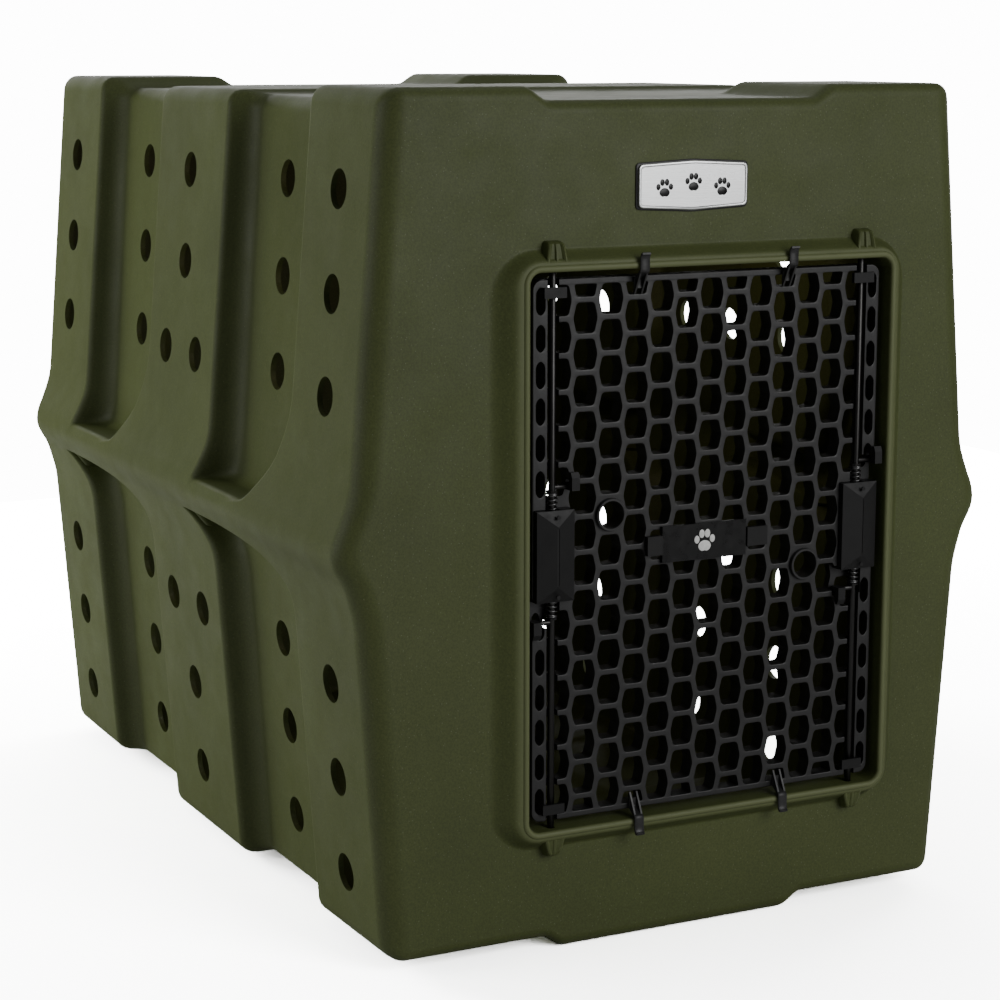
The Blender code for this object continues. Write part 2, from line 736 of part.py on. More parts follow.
def build_cover(side_name, sx):
    x = DOOR_X + sx * ROD_X
    cover = cover_solid(side_name + "_latch_cover", x, 0.0, COVER_RIDGE, COVER_EAVE,
                         POCKET_Y - GAP - FACE_Y)
    inner = cover_solid("hollow", x, COVER_WALL, COVER_RIDGE - COVER_WALL,
                        COVER_EAVE - COVER_WALL, 0.010)
    boolean(cover, inner, "DIFFERENCE")
    bm = bmesh.new()
    add_box(bm, x - 0.0062, x + 0.0062, ROD_Y - 0.0058, FACE_Y + 0.01,
            DOOR_Z - 0.06, DOOR_Z + 0.06)
    boolean(cover, mesh_object("spring_slot", bm), "DIFFERENCE")
    bm = bmesh.new()
    add_box(bm, x - 0.0010, x + 0.0010, FACE_Y - COVER_RIDGE - 0.01,
            FACE_Y - COVER_RIDGE + 0.0009, DOOR_Z - 0.0245, DOOR_Z + 0.0245)
    boolean(cover, mesh_object("ridge_line", bm), "DIFFERENCE")
    add_material(cover, "black")
    return cover


def build_cover_screw(spot, sx, sz):
    """Small round head on a sloping end of the cover."""
    x = DOOR_X + sx * ROD_X
    z = DOOR_Z + sz * 0.0345
    y = FACE_Y - COVER_RIDGE + 0.0010
    bm = bmesh.new()
    add_prism(bm, circle(x, z, 0.0018, 10), "y", y - 0.0014, y)
    mesh_object(spot + "_cover_screw", bm, "black", smooth=True)


def build_guide(spot, sx, sz):
    """Bridge over the rod near the door's corner."""
    x = DOOR_X + sx * ROD_X
    z = DOOR_Z + sz * 0.2235
    bm = bmesh.new()
    outer = 0.0105
    top = ROD_Y - ROD_R - GAP
    add_prism(bm, [(x - outer, FACE_Y - GAP), (x - outer, top - 0.0026), (x + outer, top - 0.0026),
                   (x + outer, FACE_Y - GAP), (x + 0.0046, FACE_Y - GAP), (x + 0.0046, top),
                   (x - 0.0046, top), (x - 0.0046, FACE_Y - GAP)], "z", z - 0.0045, z + 0.0045)
    return mesh_object(spot + "_rod_guide", bm, "black")


def build_hook(name, column, sz):
    """Stop hook: lies on the door rail, crosses the gap and laps over the lip."""
    x = DOOR_X + column * CELL_X
    face = FACE_Y - GAP
    out = CREST_Y - 0.0006
    root = GRID_HALF_Z - 0.026
    rail = GRID_HALF_Z - 0.0035
    tip = LIP_HALF_Z + 0.0135
    t = 0.0022

    def profile(points):
        return [(y, DOOR_Z + sz * z) for y, z in points]

    bm = bmesh.new()
    body = profile([(face, rail - 0.007), (face, rail), (out, rail + 0.004), (out, tip - 0.002),
                    (out - 0.0030, tip + 0.001), (out - 0.0046, tip - 0.0004),
                    (out - t, tip - 0.0040), (out - t, rail + 0.003), (face - t, rail - 0.003),
                    (face - t, rail - 0.007)])
    add_prism(bm, body, "x", x - 0.0045, x + 0.0045)
    hook = mesh_object(name, bm)
    struts = bmesh.new()
    for side in (-1, 1):
        strut = profile([(face, root), (face, rail - 0.005), (face - 0.0012, rail - 0.003),
                         (out - 0.0008, rail + 0.0045), (out - 0.0008, rail + 0.001)])
        add_prism(struts, strut, "x", x + side * 0.0030 - 0.0008, x + side * 0.0030 + 0.0008)
    boolean(hook, mesh_object("struts", struts), "UNION")
    add_material(hook, "black")
    return hook


# ---- plaque and badge -----------------------------------------------------
def hex_plate(half_x, mid_half, end_half):
    return [(-half_x, -end_half), (0.0, -mid_half), (half_x, -end_half),
            (half_x, end_half), (0.0, mid_half), (-half_x, end_half)]


def build_badge():
    """Blank nameplate with a raised rim on a dark backing, on the front wall."""
    centre = (0.0048, 0.6640)
    backing = bmesh.new()
    line = [(centre[0] + x, centre[1] + z) for x, z in hex_plate(0.0552, 0.0224, 0.0196)]
    add_prism(backing, line, "y", FRONT_Y - 0.0015, FRONT_Y - GAP)
    mesh_object("badge_backing", backing, "black")
    plate = bmesh.new()
    line = [(centre[0] + x, centre[1] + z) for x, z in hex_plate(0.0535, 0.0208, 0.0180)]
    add_prism(plate, line, "y", FRONT_Y - 0.0042, FRONT_Y - 0.0015 - GAP)
    badge = mesh_object("badge_plate", plate)
    field = bmesh.new()
    line = [(centre[0] + x, centre[1] + z) for x, z in hex_plate(0.0515, 0.0190, 0.0163)]
    add_prism(field, line, "y", FRONT_Y - 0.01, FRONT_Y - 0.0034)
    boolean(badge, mesh_object("field", field), "DIFFERENCE")
    add_material(badge, "badge")


def build_plaque():
    """Plain plate held by a clip at each end, on the middle of the door."""
    front = FACE_Y - 0.0040
    left = PLAQUE_X - PLAQUE_HALF_X
    right = PLAQUE_X + PLAQUE_HALF_X
    pieces = (("door_plaque", left, right, PLAQUE_HALF_Z, front),
              ("left_plaque_clip", left - 0.0155, left - 0.0008, 0.0085, front - 0.0015),
              ("right_plaque_clip", right + 0.0008, right + 0.0215, 0.0085, front - 0.0015))
    for name, x0, x1, half_z, level in pieces:
        bm = bmesh.new()
        add_outlines(bm, [rect(x0, x1, -half_z, half_z)], level, FACE_Y - GAP)
        mesh_object(name, bm, "black")


def build_door():
    build_grid()
    for spot, sx, sz, way in latch_spots():
        build_rod(spot, sx, sz, way)
        build_tab(spot, sx, sz, way)
        build_collar(spot, sx, sz)
        build_spring(spot, sx, sz)
        build_guide(spot, sx, sz)
        build_cover_screw(spot, sx, sz)
    for side_name, sx in (("left", -1), ("right", 1)):
        build_base(side_name, sx)
        build_cover(side_name, sx)
    for name, column, sz in (("left_top", -3, 1), ("right_top", 3, 1),
                             ("left_low", -3, -1), ("right_low", 3, -1)):
        build_hook(name + "_stop_hook", column, sz)
    build_plaque()


def place_origins():
    """Slide parts take their origin on their rod's axis, door parts on the hinge axis."""
    for spot, sx, sz, _ in latch_spots():
        axis = (DOOR_X + sx * ROD_X, ROD_Y, DOOR_Z + sz * LEG_Z)
        for part in ("_rod", "_finger_tab", "_retainer"):
            set_origin(bpy.data.objects[spot + part], axis)
    for obj in bpy.data.objects:
        fixed = obj.name in ("shell", "badge_plate", "badge_backing")
        if not fixed and obj.location.length < 1e-6:
            set_origin(obj, (HINGE_X, ROD_Y, DOOR_Z))


def main():
    clear_scene()
    build_shell()
    build_badge()
    build_door()
    place_origins()


main()
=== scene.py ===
import math

import bmesh
import bpy
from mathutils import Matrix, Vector
from mathutils.geometry import tessellate_polygon


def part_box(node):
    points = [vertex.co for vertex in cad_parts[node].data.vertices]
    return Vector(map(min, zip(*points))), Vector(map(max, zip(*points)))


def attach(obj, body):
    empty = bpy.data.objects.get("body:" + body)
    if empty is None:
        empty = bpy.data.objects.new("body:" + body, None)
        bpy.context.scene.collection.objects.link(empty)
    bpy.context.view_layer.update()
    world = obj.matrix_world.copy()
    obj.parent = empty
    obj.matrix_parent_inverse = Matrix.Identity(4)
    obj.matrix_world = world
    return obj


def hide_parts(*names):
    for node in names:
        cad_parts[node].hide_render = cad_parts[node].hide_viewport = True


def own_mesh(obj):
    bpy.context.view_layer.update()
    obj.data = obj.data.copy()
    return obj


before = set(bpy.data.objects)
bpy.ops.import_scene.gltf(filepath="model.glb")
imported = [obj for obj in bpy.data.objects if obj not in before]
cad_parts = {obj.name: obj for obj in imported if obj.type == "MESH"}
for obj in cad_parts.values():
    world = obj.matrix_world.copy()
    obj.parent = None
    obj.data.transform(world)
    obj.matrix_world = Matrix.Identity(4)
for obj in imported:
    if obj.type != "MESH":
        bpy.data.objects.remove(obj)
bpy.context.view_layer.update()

# ---- shell sizes, in metres, from the CAD ---------------------------------
HEIGHT = 0.748
FRONT_Y = -0.435
BACK_Y = 0.455
MID_Y = 0.010
WALL = 0.005

# half widths of the ribs and of the channel floors, by height
HALF_BASE = 0.2830
HALF_WAIST_LO = 0.3040
HALF_BELT = 0.3245
HALF_WAIST_HI = 0.3075
HALF_TOP = 0.2795
WAIST_LO_Z = 0.309
APEX_Z = 0.344
BELT_LOW = 0.358
BELT_TOP = 0.375
LEDGE_Z = 0.379
WAIST_HI_Z = 0.418
RIDGE_DROP = 0.011
RIB_SIDE = ((-0.10, 0.2752), (RIDGE_DROP, HALF_BASE), (WAIST_LO_Z, HALF_WAIST_LO),
            (APEX_Z, 0.3140), (BELT_LOW, HALF_BELT), (BELT_TOP, HALF_BELT),
            (0.395, 0.3155), (WAIST_HI_Z, HALF_WAIST_HI), (HEIGHT, HALF_TOP), (0.90, 0.2666))
FLOOR_SIDE = ((-0.10, 0.2528), (RIDGE_DROP, 0.2600), (APEX_Z, 0.2810), (LEDGE_Z, 0.2845),
              (HEIGHT, 0.2565), (0.90, 0.2450))

# roundings: of the ends, their caps, the long edges and the corners
END_RADIUS = 0.022
CAP_RADIUS = 0.011
EDGE_RADIUS = 0.0155
CORNER_RADIUS = 0.0185
LEAST_CORNER = 0.004
CORNER_LEAN = 4.9
CORNER_STEPS = 6
END_DEGREES = (0, 9, 18, 27, 36, 46, 57, 68, 79, 90)

# steps of the top and the underside, and where their slopes run
PAD_STEP = 0.0115
BAND_STEP = 0.0066
BAND_LOW = 0.0055
CHANNEL_LIFT = 0.0010
RECESS_FLOOR = 0.1275
RECESS_TOP = 0.1525
RIDGE_FLOOR = 0.1125
RIDGE_TOP = 0.1345
SLOPE_STEPS = 6

# section rows between the corners and the belt
UPPER_ROWS = (0.695, 0.66, 0.615, 0.565, 0.525, 0.495, 0.480, 0.470, 0.460, 0.452, 0.445,
              0.438, 0.431, 0.424, 0.417, 0.411, 0.405, 0.400)
ROOF_GAP = 0.004
ROOF_DROPS = (0.0, 0.006, 0.013, 0.021, 0.030, 0.040)
LOWER_ROWS = (0.277, 0.245, 0.205, 0.165, 0.125, 0.085, 0.055)
ABOVE = 1.0
BELOW = 0.0

# side channels
CHANNEL_DEPTH = 0.023
CHANNEL_NEAR = 0.097
CHANNEL_FAR = 0.285
UPPER_SWEEP = 0.078
LOWER_SWEEP = 0.225
SWEEP_TOP = 0.484
SWEEP_LOW = 0.271
SWEEP_POWER = 1.7
APEX_REACH = 0.058
APEX_BAND = 0.0065
FLARE = 0.012
FLARE_TOP = 0.435
FILLET = 0.012
LIP_EDGE = 0.0055
WALL_TILT = 63.0
WALL_NEAR = 0.0090
WALL_FAR = 0.0240
LEAD = 0.0085
SKIN_SHIFT = 0.6
SLOPE_SHARE = 0.44
NO_DEPTH = 0.010
DEPTH_RUN = 0.075

# round vents
HOLE_R = 0.0169
HOLE_Z_HIGH = (0.6640, 0.5770, 0.4910)
HOLE_Z_LOW = (0.2425, 0.1585, 0.0716)
RIB_HOLE_Y = 0.3633
CHANNEL_HOLE_Y = 0.1913
PAIR_HALF = 0.0422
VENT_REACH = 0.40

# doorway frame, its lip and the rods' sockets
DOOR_X = 0.0245
DOOR_Z = 0.355
LIP_HALF_X = 0.1805
LIP_HALF_Z = 0.2410
LIP_CORNER = 0.010
LIP_ROUND = 0.0030
CREST_Y = FRONT_Y - 0.0148
PLATEAU_Y = FRONT_Y - 0.0126
TUNNEL_Y = FRONT_Y + 0.032
FLANK_FOOT = 0.0330
FLANK_RUN = 0.0262
FLANK_RISE = 0.0128
FLANK_TOP = 0.0068
FLANK_PULL_X = 0.42
FLANK_PULL_Z = 0.52
BOSS_ROOT = FRONT_Y + 0.0032
SOCKET_R = 0.0036

# ---- door sizes -----------------------------------------------------------
FACE_Y = CREST_Y + 0.0104
ROD_Y = CREST_Y + 0.0121
POCKET_Y = FACE_Y + 0.0085
LIP_OUT = FACE_Y - CREST_Y
GRID_THICK = 0.016
GRID_HALF_X = 0.174
GRID_HALF_Z = 0.2345
GRID_CORNER = 0.009
CELL_X = 0.0248
CELL_Z = 0.0309
CELL_FLAT = 0.0083
CELL_WIDE = 0.0114
CELL_TALL = 0.01295
CUT_NARROW = 0.0006
EDGE_CELL_X = 0.1665
PORTS = ((-4, 1), (4, -1))
PORT_R = 0.0120
ROD_X = 0.1547
ROD_R = 0.0030
ROD_TIP = 0.2545
ROD_END = 0.031
LEG_R = 0.0022
LEG_Z = 0.0585
LEG_LONG = 0.0215
SPRING_SEAT = 0.0155
SPRING_R = 0.0044
SPRING_WIRE = 0.00075
SPRING_TURNS = 11
RETAINER_DEEP = 0.0020
GAP = 0.0004

BADGE_X = 0.0048
BADGE_Z = 0.6640
PAW_PADS = ((0.0, -0.30, 0.42, 0.34), (-0.52, 0.12, 0.17, 0.23), (-0.19, 0.44, 0.18, 0.25),
            (0.19, 0.44, 0.18, 0.25), (0.52, 0.12, 0.17, 0.23))

# rods: name, side of the door, up or down, and which way the leg points
SPOTS = (("left_upper", -1, 1, 1), ("left_lower", -1, -1, -1),
         ("right_upper", 1, 1, 1), ("right_lower", 1, -1, -1))
HOOKS = (("left_top", -3, 1), ("right_top", 3, 1), ("left_low", -3, -1), ("right_low", 3, -1))
EDGE_BEVELS = {"latch_cover": 0.0006, "latch_base": 0.0004, "finger_tab": 0.0006,
               "rod_guide": 0.0006, "plaque_clip": 0.0006, "door_plaque": 0.0008,
               "cover_screw": 0.0004, "retainer": 0.0003}

# ---- colours, lights and camera -------------------------------------------
OLIVE = (0.062, 0.0760, 0.0215)
# paler olive painted on the doorway's lip crest and the boss ridges as a painted highlight
OLIVE_LIP_HIGHLIGHT = (0.125, 0.142, 0.062)
OLIVE_FLECK = (0.21, 0.225, 0.14)
FLOOR_LIT = 0.55
FLOOR_SEEN = 15.0
WORLD_LIT = 0.11
WORLD_SEEN = 14.0
AIM = (0.0, 0.0, 0.38)
CAMERA_AT = (-1.0894, -2.2530, 0.7812)
CAMERA_DOWN = 10.45
CAMERA_TURN = -26.63
CAMERA_LENS = 88.8


# ---- mesh helpers ---------------------------------------------------------
def make_object(name, bm, smooth_angle=None):
    bmesh.ops.recalc_face_normals(bm, faces=bm.faces)
    mesh = bpy.data.meshes.new(name)
    bm.to_mesh(mesh)
    bm.free()
    obj = bpy.data.objects.new(name, mesh)
    bpy.context.scene.collection.objects.link(obj)
    if smooth_angle is not None:
        shade(obj, smooth_angle)
    return obj


def shade(obj, angle):
    for poly in obj.data.polygons:
        poly.use_smooth = True
    obj.data.set_sharp_from_angle(angle=math.radians(angle))


def loft(bm, loops, closed=False):
    """Quads between equal closed loops of vertices."""
    pairs = list(zip(loops, loops[1:]))
    if closed:
        pairs.append((loops[-1], loops[0]))
    for a, b in pairs:
        for k in range(len(a)):
            nxt = (k + 1) % len(a)
            bm.faces.new((a[k], a[nxt], b[nxt], b[k]))


def solid_loft(bm, loops):
    """A loft closed by a flat face at each end."""
    loft(bm, loops)
    bm.faces.new(loops[0])
    bm.faces.new(loops[-1])


def ring_verts(bm, points):
    return [bm.verts.new(p) for p in points]


def circle_angles(sides):
    return [2 * math.pi * j / sides for j in range(sides)]


def path_direction(points, k):
    return (points[min(k + 1, len(points) - 1)] - points[max(k - 1, 0)]).normalized()


def tube(bm, points, radius, sides):
    """Round bar along a path; radius is a number or a function of the point's index."""
    pts = [Vector(p) for p in points]
    side = None
    loops = []
    for k, here in enumerate(pts):
        along = path_direction(pts, k)
        if side is None:
            start = Vector((1, 0, 0)) if abs(along.x) < 0.8 else Vector((0, 1, 0))
            side = along.cross(start).normalized()
        side = (side - along * side.dot(along)).normalized()
        lift = along.cross(side)
        size = radius(k) if callable(radius) else radius
        loops.append([bm.verts.new(here + size * (side * math.cos(a) + lift * math.sin(a)))
                      for a in circle_angles(sides)])
    solid_loft(bm, loops)


def boolean(obj, cutter, operation):
    mod = obj.modifiers.new(operation.lower(), "BOOLEAN")
    mod.operation = operation
    mod.solver = "EXACT"
    mod.object = cutter
    depsgraph = bpy.context.evaluated_depsgraph_get()
    mesh = bpy.data.meshes.new_from_object(obj.evaluated_get(depsgraph))
    obj.modifiers.clear()
    obj.data = mesh
    bpy.data.objects.remove(cutter, do_unlink=True)


def add_bevel(obj, width):
    mod = obj.modifiers.new("soft_edges", "BEVEL")
    mod.width = width
    mod.segments = 2
    mod.limit_method = "ANGLE"
    mod.angle_limit = math.radians(30)
    mod.use_clamp_overlap = True
    mod.harden_normals = False


def add_weighted(obj):
    mod = obj.modifiers.new("even_normals", "WEIGHTED_NORMAL")
    mod.keep_sharp = True
    mod.weight = 90


def arc(cx, cz, radius, start, end, steps):
    out = []
    for k in range(steps + 1):
        a = math.radians(start + (end - start) * k / steps)
        out.append((cx + radius * math.cos(a), cz + radius * math.sin(a)))
    return out


def rounded_rect(half_x, half_z, radius, steps):
    pts = []
    for sx, sz, start in ((1, 1, 0), (-1, 1, 90), (-1, -1, 180), (1, -1, 270)):
        pts += arc(sx * (half_x - radius), sz * (half_z - radius), radius,
                   start, start + 90, steps)
    return pts


def rounded_polygon(points, radius, steps):
    """Round every corner of a convex outline."""
    out = []
    count = len(points)
    for k, here in enumerate(points):
        p = Vector(here)
        a = (Vector(points[k - 1]) - p)
        b = (Vector(points[(k + 1) % count]) - p)
        cut = min(radius, a.length * 0.45, b.length * 0.45)
        start = p + a.normalized() * cut
        end = p + b.normalized() * cut
        for j in range(steps + 1):
            t = j / steps
            out.append(tuple(start * (1 - t) ** 2 + p * 2 * t * (1 - t) + end * t * t))
    return out


def grow_outline(points, by):
    """Offset a convex outline outwards by a small distance."""
    count = len(points)
    area = sum(points[k][0] * points[(k + 1) % count][1]
               - points[(k + 1) % count][0] * points[k][1] for k in range(count))
    sign = 1 if area > 0 else -1
    out = []
    for k in range(count):
        a = (Vector(points[k]) - Vector(points[k - 1])).normalized()
        b = (Vector(points[(k + 1) % count]) - Vector(points[k])).normalized()
        na = Vector((a.y, -a.x)) * sign
        nb = Vector((b.y, -b.x)) * sign
        n = (na + nb).normalized()
        out.append(tuple(Vector(points[k]) + n * (by / max(0.5, n.dot(na)))))
    return out


def fill_with_holes(bm, outer, holes):
    """Flat face between one loop of vertices and others inside it."""
    loops = [outer] + holes
    flat = [v for loop in loops for v in loop]
    for tri in tessellate_polygon([[v.co for v in loop] for loop in loops]):
        if len(set(tri)) == 3:
            bm.faces.new([flat[k] for k in tri])


# ---- shell sections -------------------------------------------------------
def lerp_table(z, table):
    for (z0, v0), (z1, v1) in zip(table, table[1:]):
        if z <= z1:
            t = (z - z0) / (z1 - z0)
            return v0 + (v1 - v0) * t
    return table[-1][1]


def rib_half(z):
    """Half width over the ribs, with the bends of the table smoothed."""
    return sum(lerp_table(z + 0.0022 * k, RIB_SIDE) for k in range(-4, 5)) / 9


def floor_half(z):
    return lerp_table(z, FLOOR_SIDE)


def upper_corner(half, inset, level, radius):
    """Rounded corner that meets the leaning side smoothly."""
    lean = math.radians(CORNER_LEAN)
    cz = level - radius
    cx = half(cz + radius * math.sin(lean)) - inset - radius * math.cos(lean)
    return arc(cx, cz, radius, 90, CORNER_LEAN, CORNER_STEPS)


def lower_corner(half, inset, level, radius):
    lean = math.radians(CORNER_LEAN)
    cz = level + radius
    cx = half(cz - radius * math.sin(lean)) - inset - radius * math.cos(lean)
    return arc(cx, cz, radius, -CORNER_LEAN, -90, CORNER_STEPS)


def ease(k, steps):
    t = k / steps
    return t * t * (3 - 2 * t)


def rib_point(z, inset):
    return rib_half(z) - inset, z


def row_point(z, inset):
    return rib_point(z, inset), (floor_half(z) - inset, z), z


def top_points(inset, drop, radius, band):
    """From the middle of the top over the step and round the upper corner."""
    top = HEIGHT - drop - (BAND_STEP if band else 0.0)
    floor = HEIGHT - drop - PAD_STEP
    middle = top if band else floor
    points = [((0.0, middle), (0.0, floor), ABOVE)]
    for k in range(SLOPE_STEPS + 1):
        x = RECESS_FLOOR + (RECESS_TOP - RECESS_FLOOR) * k / SLOPE_STEPS
        z = middle + (top - middle) * ease(k, SLOPE_STEPS)
        points.append(((x, z), (x, floor), ABOVE))
    ribs = upper_corner(rib_half, inset, top, radius)
    floors = upper_corner(floor_half, inset, floor, radius)
    return points + [(a, b, ABOVE) for a, b in zip(ribs, floors)]


def ledge_points(inset, wall, fillet, edge_radius):
    """The upper channel's ledge: fillet, flat and rounded edge."""
    ledge = LEDGE_Z - wall
    path = arc(floor_half(LEDGE_Z) - inset + fillet, ledge + fillet, fillet, 180, 270, 6)
    edge = rib_half(ledge) - inset
    start = path[-1][0]
    path += [(start + (edge - edge_radius - start) * k / 3, ledge) for k in (1, 2)]
    path += arc(edge - edge_radius, ledge - edge_radius, edge_radius, 90, 0, 4)
    high = ledge + fillet
    low = ledge - edge_radius
    points = []
    for k, p in enumerate(path):
        z = high + (low - high) * k / (len(path) - 1)
        points.append((rib_point(z, inset), p, z + wall))
    return points


def belt_points(inset, wall, edge_radius):
    low = LEDGE_Z - wall - edge_radius
    apex = APEX_Z + wall
    points = []
    for k in (1, 2, 3, 4):
        z = low + (apex + edge_radius - low) * k / 5
        points.append((rib_point(z, inset), rib_point(z, inset), z))
    return points


def roof_points(inset, wall, fillet, edge_radius):
    """The lower channel's roof: rounded edge, flat and fillet, then the rows under it."""
    apex = APEX_Z + wall
    edge = rib_half(apex) - inset
    path = arc(edge - edge_radius, apex + edge_radius, edge_radius, 0, -90, 4)
    inner = floor_half(APEX_Z) - inset + fillet
    start = path[-1][0]
    path += [(start + (inner - start) * k / 3, apex) for k in (1, 2)]
    path += arc(inner, apex - fillet, fillet, 90, 180, 8)
    points = []
    for k, p in enumerate(path):
        z = p[1] - 0.0001 * k
        points.append((rib_point(z, inset), p, z - wall))
    last = path[-1][1] - ROOF_GAP
    return points + [row_point(last - drop, inset) for drop in ROOF_DROPS]


def base_points(inset, drop, radius, band):
    """Round the lower corner and down to the foot ridge in the middle."""
    base = RIDGE_DROP + drop - (BAND_LOW if band else 0.0)
    floor = RIDGE_DROP + drop + CHANNEL_LIFT
    ribs = lower_corner(rib_half, inset, base, radius)
    floors = lower_corner(floor_half, inset, floor, max(0.008 - inset, 0.003))
    points = [(a, b, BELOW) for a, b in zip(ribs, floors)]
    for k in range(SLOPE_STEPS + 1):
        x = RIDGE_TOP + (RIDGE_FLOOR - RIDGE_TOP) * k / SLOPE_STEPS
        z = base + (drop - base) * ease(k, SLOPE_STEPS)
        z_floor = floor + (drop - floor) * ease(k, SLOPE_STEPS)
        points.append(((x, z), (x, z_floor), BELOW))
    points.append(((0.0, drop), (0.0, drop), BELOW))
    return points


def half_ring(inset, cap, wall, radius, band=False):
    """Right half of a section: (rib point, channel point, height that sets the sweep)."""
    inset = inset + wall
    drop = cap + wall
    corner_radius = max(radius - inset, LEAST_CORNER)
    fillet = FILLET + wall
    edge_radius = max(LIP_EDGE - wall, 0.0012)
    ring = top_points(inset, drop, corner_radius, band)
    ring += [row_point(z, inset) for z in UPPER_ROWS]
    ring += ledge_points(inset, wall, fillet, edge_radius)
    ring += belt_points(inset, wall, edge_radius)
    ring += roof_points(inset, wall, fillet, edge_radius)
    ring += [row_point(z, inset) for z in LOWER_ROWS]
    return ring + base_points(inset, drop, corner_radius, band)


def front_sweep(z):
    """How far a channel's front edge has moved rearward at a height."""
    if z > LEDGE_Z:
        return UPPER_SWEEP * max(0.0, (SWEEP_TOP - z) / (SWEEP_TOP - LEDGE_Z)) ** SWEEP_POWER
    if z > APEX_Z:
        blend = (z - APEX_Z) / (LEDGE_Z - APEX_Z)
        return LOWER_SWEEP + (UPPER_SWEEP - LOWER_SWEEP) * blend
    t = max(0.0, (z - SWEEP_LOW) / (APEX_Z - SWEEP_LOW))
    return LOWER_SWEEP * (1 - math.sqrt(max(0.0, 1 - t * t))) ** SWEEP_POWER


def rear_sweep(z):
    flare = FLARE * min(1.0, max(0.0, (FLARE_TOP - z) / (FLARE_TOP - LEDGE_Z))) ** 2
    if z > APEX_Z:
        reach = max(0.0, (LEDGE_Z - z) / (LEDGE_Z - APEX_Z))
        return flare + (APEX_REACH - FLARE) * reach
    return APEX_REACH * max(0.0, (z - SWEEP_LOW) / (APEX_Z - SWEEP_LOW)) ** 4


def wall_profile():
    """Rounded channel wall: (run in metres from the rib side, share of the depth)."""
    pts = []
    for k in range(6):
        a = math.radians(WALL_TILT * k / 5)
        pts.append((WALL_NEAR * math.sin(a), WALL_NEAR * (1 - math.cos(a))))
    a = math.radians(WALL_TILT)
    gap = CHANNEL_DEPTH - (WALL_NEAR + WALL_FAR) * (1 - math.cos(a))
    run = pts[-1][0] + gap / math.tan(a)
    base = pts[-1][1] + gap
    for k in range(9):
        b = math.radians(WALL_TILT * (1 - k / 8))
        pts.append((run + WALL_FAR * (math.sin(a) - math.sin(b)),
                    base + WALL_FAR * (math.cos(b) - math.cos(a))))
    return [(p[0], p[1] / CHANNEL_DEPTH) for p in pts]


PROFILE = wall_profile()


def channel_line(ring, near, far, side, step, wall):
    """One section loop on a channel's rear (side 1) or front (side -1) wall."""
    run, depth = PROFILE[step]
    half = []
    for rib, floor, level in ring:
        rear = max(near, far) + rear_sweep(level) + SKIN_SHIFT * wall
        front = min(near, far) + front_sweep(level) - SKIN_SHIFT * wall
        scale = min(1.0, SLOPE_SHARE * (rear - front) / (PROFILE[-1][0] - LEAD))
        share = depth * min(1.0, max(0.0, (rear - front - NO_DEPTH) / DEPTH_RUN))
        if APEX_Z - 0.0001 < level - wall < APEX_Z + APEX_BAND:
            share = 0.0
        if side > 0:
            y = MID_Y + rear + (LEAD - run) * scale
        else:
            y = MID_Y + front - (LEAD - run) * scale
        half.append((rib[0] + (floor[0] - rib[0]) * share, y,
                     rib[1] + (floor[1] - rib[1]) * share))
    return mirror_line(half)


def mirror_line(half):
    return half + [(-x, y, z) for x, y, z in half[-2:0:-1]]


def end_line(deg, wall, front):
    """One section loop on the rounding of the back or the front."""
    t = math.radians(deg)
    radius = END_RADIUS - wall
    run = radius * (1 - math.cos(t))
    inset = radius * (1 - math.sin(t))
    cap = CAP_RADIUS - wall
    rest = max(0.0, cap - run)
    y = wall + run
    y = FRONT_Y + y if front else BACK_Y - y
    ring = half_ring(inset, cap - math.sqrt(cap * cap - rest * rest), wall, CORNER_RADIUS)
    return mirror_line([(rib[0], y, rib[1]) for rib, _, _ in ring])


def between(a, b, count):
    """Loops at even steps from one loop to the next, both left out."""
    out = []
    for step in range(1, count):
        t = step / count
        out.append([tuple(p + (q - p) * t for p, q in zip(u, v)) for u, v in zip(a, b)])
    return out


def shell_lines(wall):
    """Section loops of one skin, from the back to the front."""
    pads = half_ring(0.0, 0.0, wall, EDGE_RADIUS)
    band = half_ring(0.0, 0.0, wall, EDGE_RADIUS, True)
    steps = range(len(PROFILE))
    lines = [end_line(deg, wall, False) for deg in END_DEGREES]
    for near, far in ((CHANNEL_NEAR, CHANNEL_FAR), (-CHANNEL_NEAR, -CHANNEL_FAR)):
        back, fore = (pads, band) if near > 0 else (band, pads)
        rear = [channel_line(back, near, far, 1, k, wall) for k in steps]
        front = [channel_line(fore, near, far, -1, k, wall) for k in reversed(steps)]
        lines += between(lines[-1], rear[0], 4) + rear
        lines += between(rear[-1], front[0], 5) + front
    last = [end_line(deg, wall, True) for deg in reversed(END_DEGREES)]
    return lines + between(lines[-1], last[0], 4) + last


# ---- shell details --------------------------------------------------------
def frame_section():
    """Doorway section from the front wall round to the inside: (offset, y)."""
    pts = []
    for k in range(15):
        t = k / 14
        pts.append((FLANK_FOOT - FLANK_RUN * t, FRONT_Y - FLANK_RISE * ease(k, 14)))
    # rounded lip
    for k in range(9):
        a = math.radians(20 + 160 * k / 8)
        pts.append((LIP_ROUND + LIP_ROUND * math.cos(a),
                    CREST_Y + LIP_ROUND - LIP_ROUND * math.sin(a)))
    pts += [(0.0, CREST_Y + 0.007), (0.0, CREST_Y + 0.020), (0.0, TUNNEL_Y - 0.0015)]
    pts += [(0.0006, TUNNEL_Y - 0.0004), (0.0015, TUNNEL_Y), (0.0040, TUNNEL_Y)]
    pts += [(WALL, TUNNEL_Y - 0.001), (WALL, FRONT_Y + WALL)]
    return pts


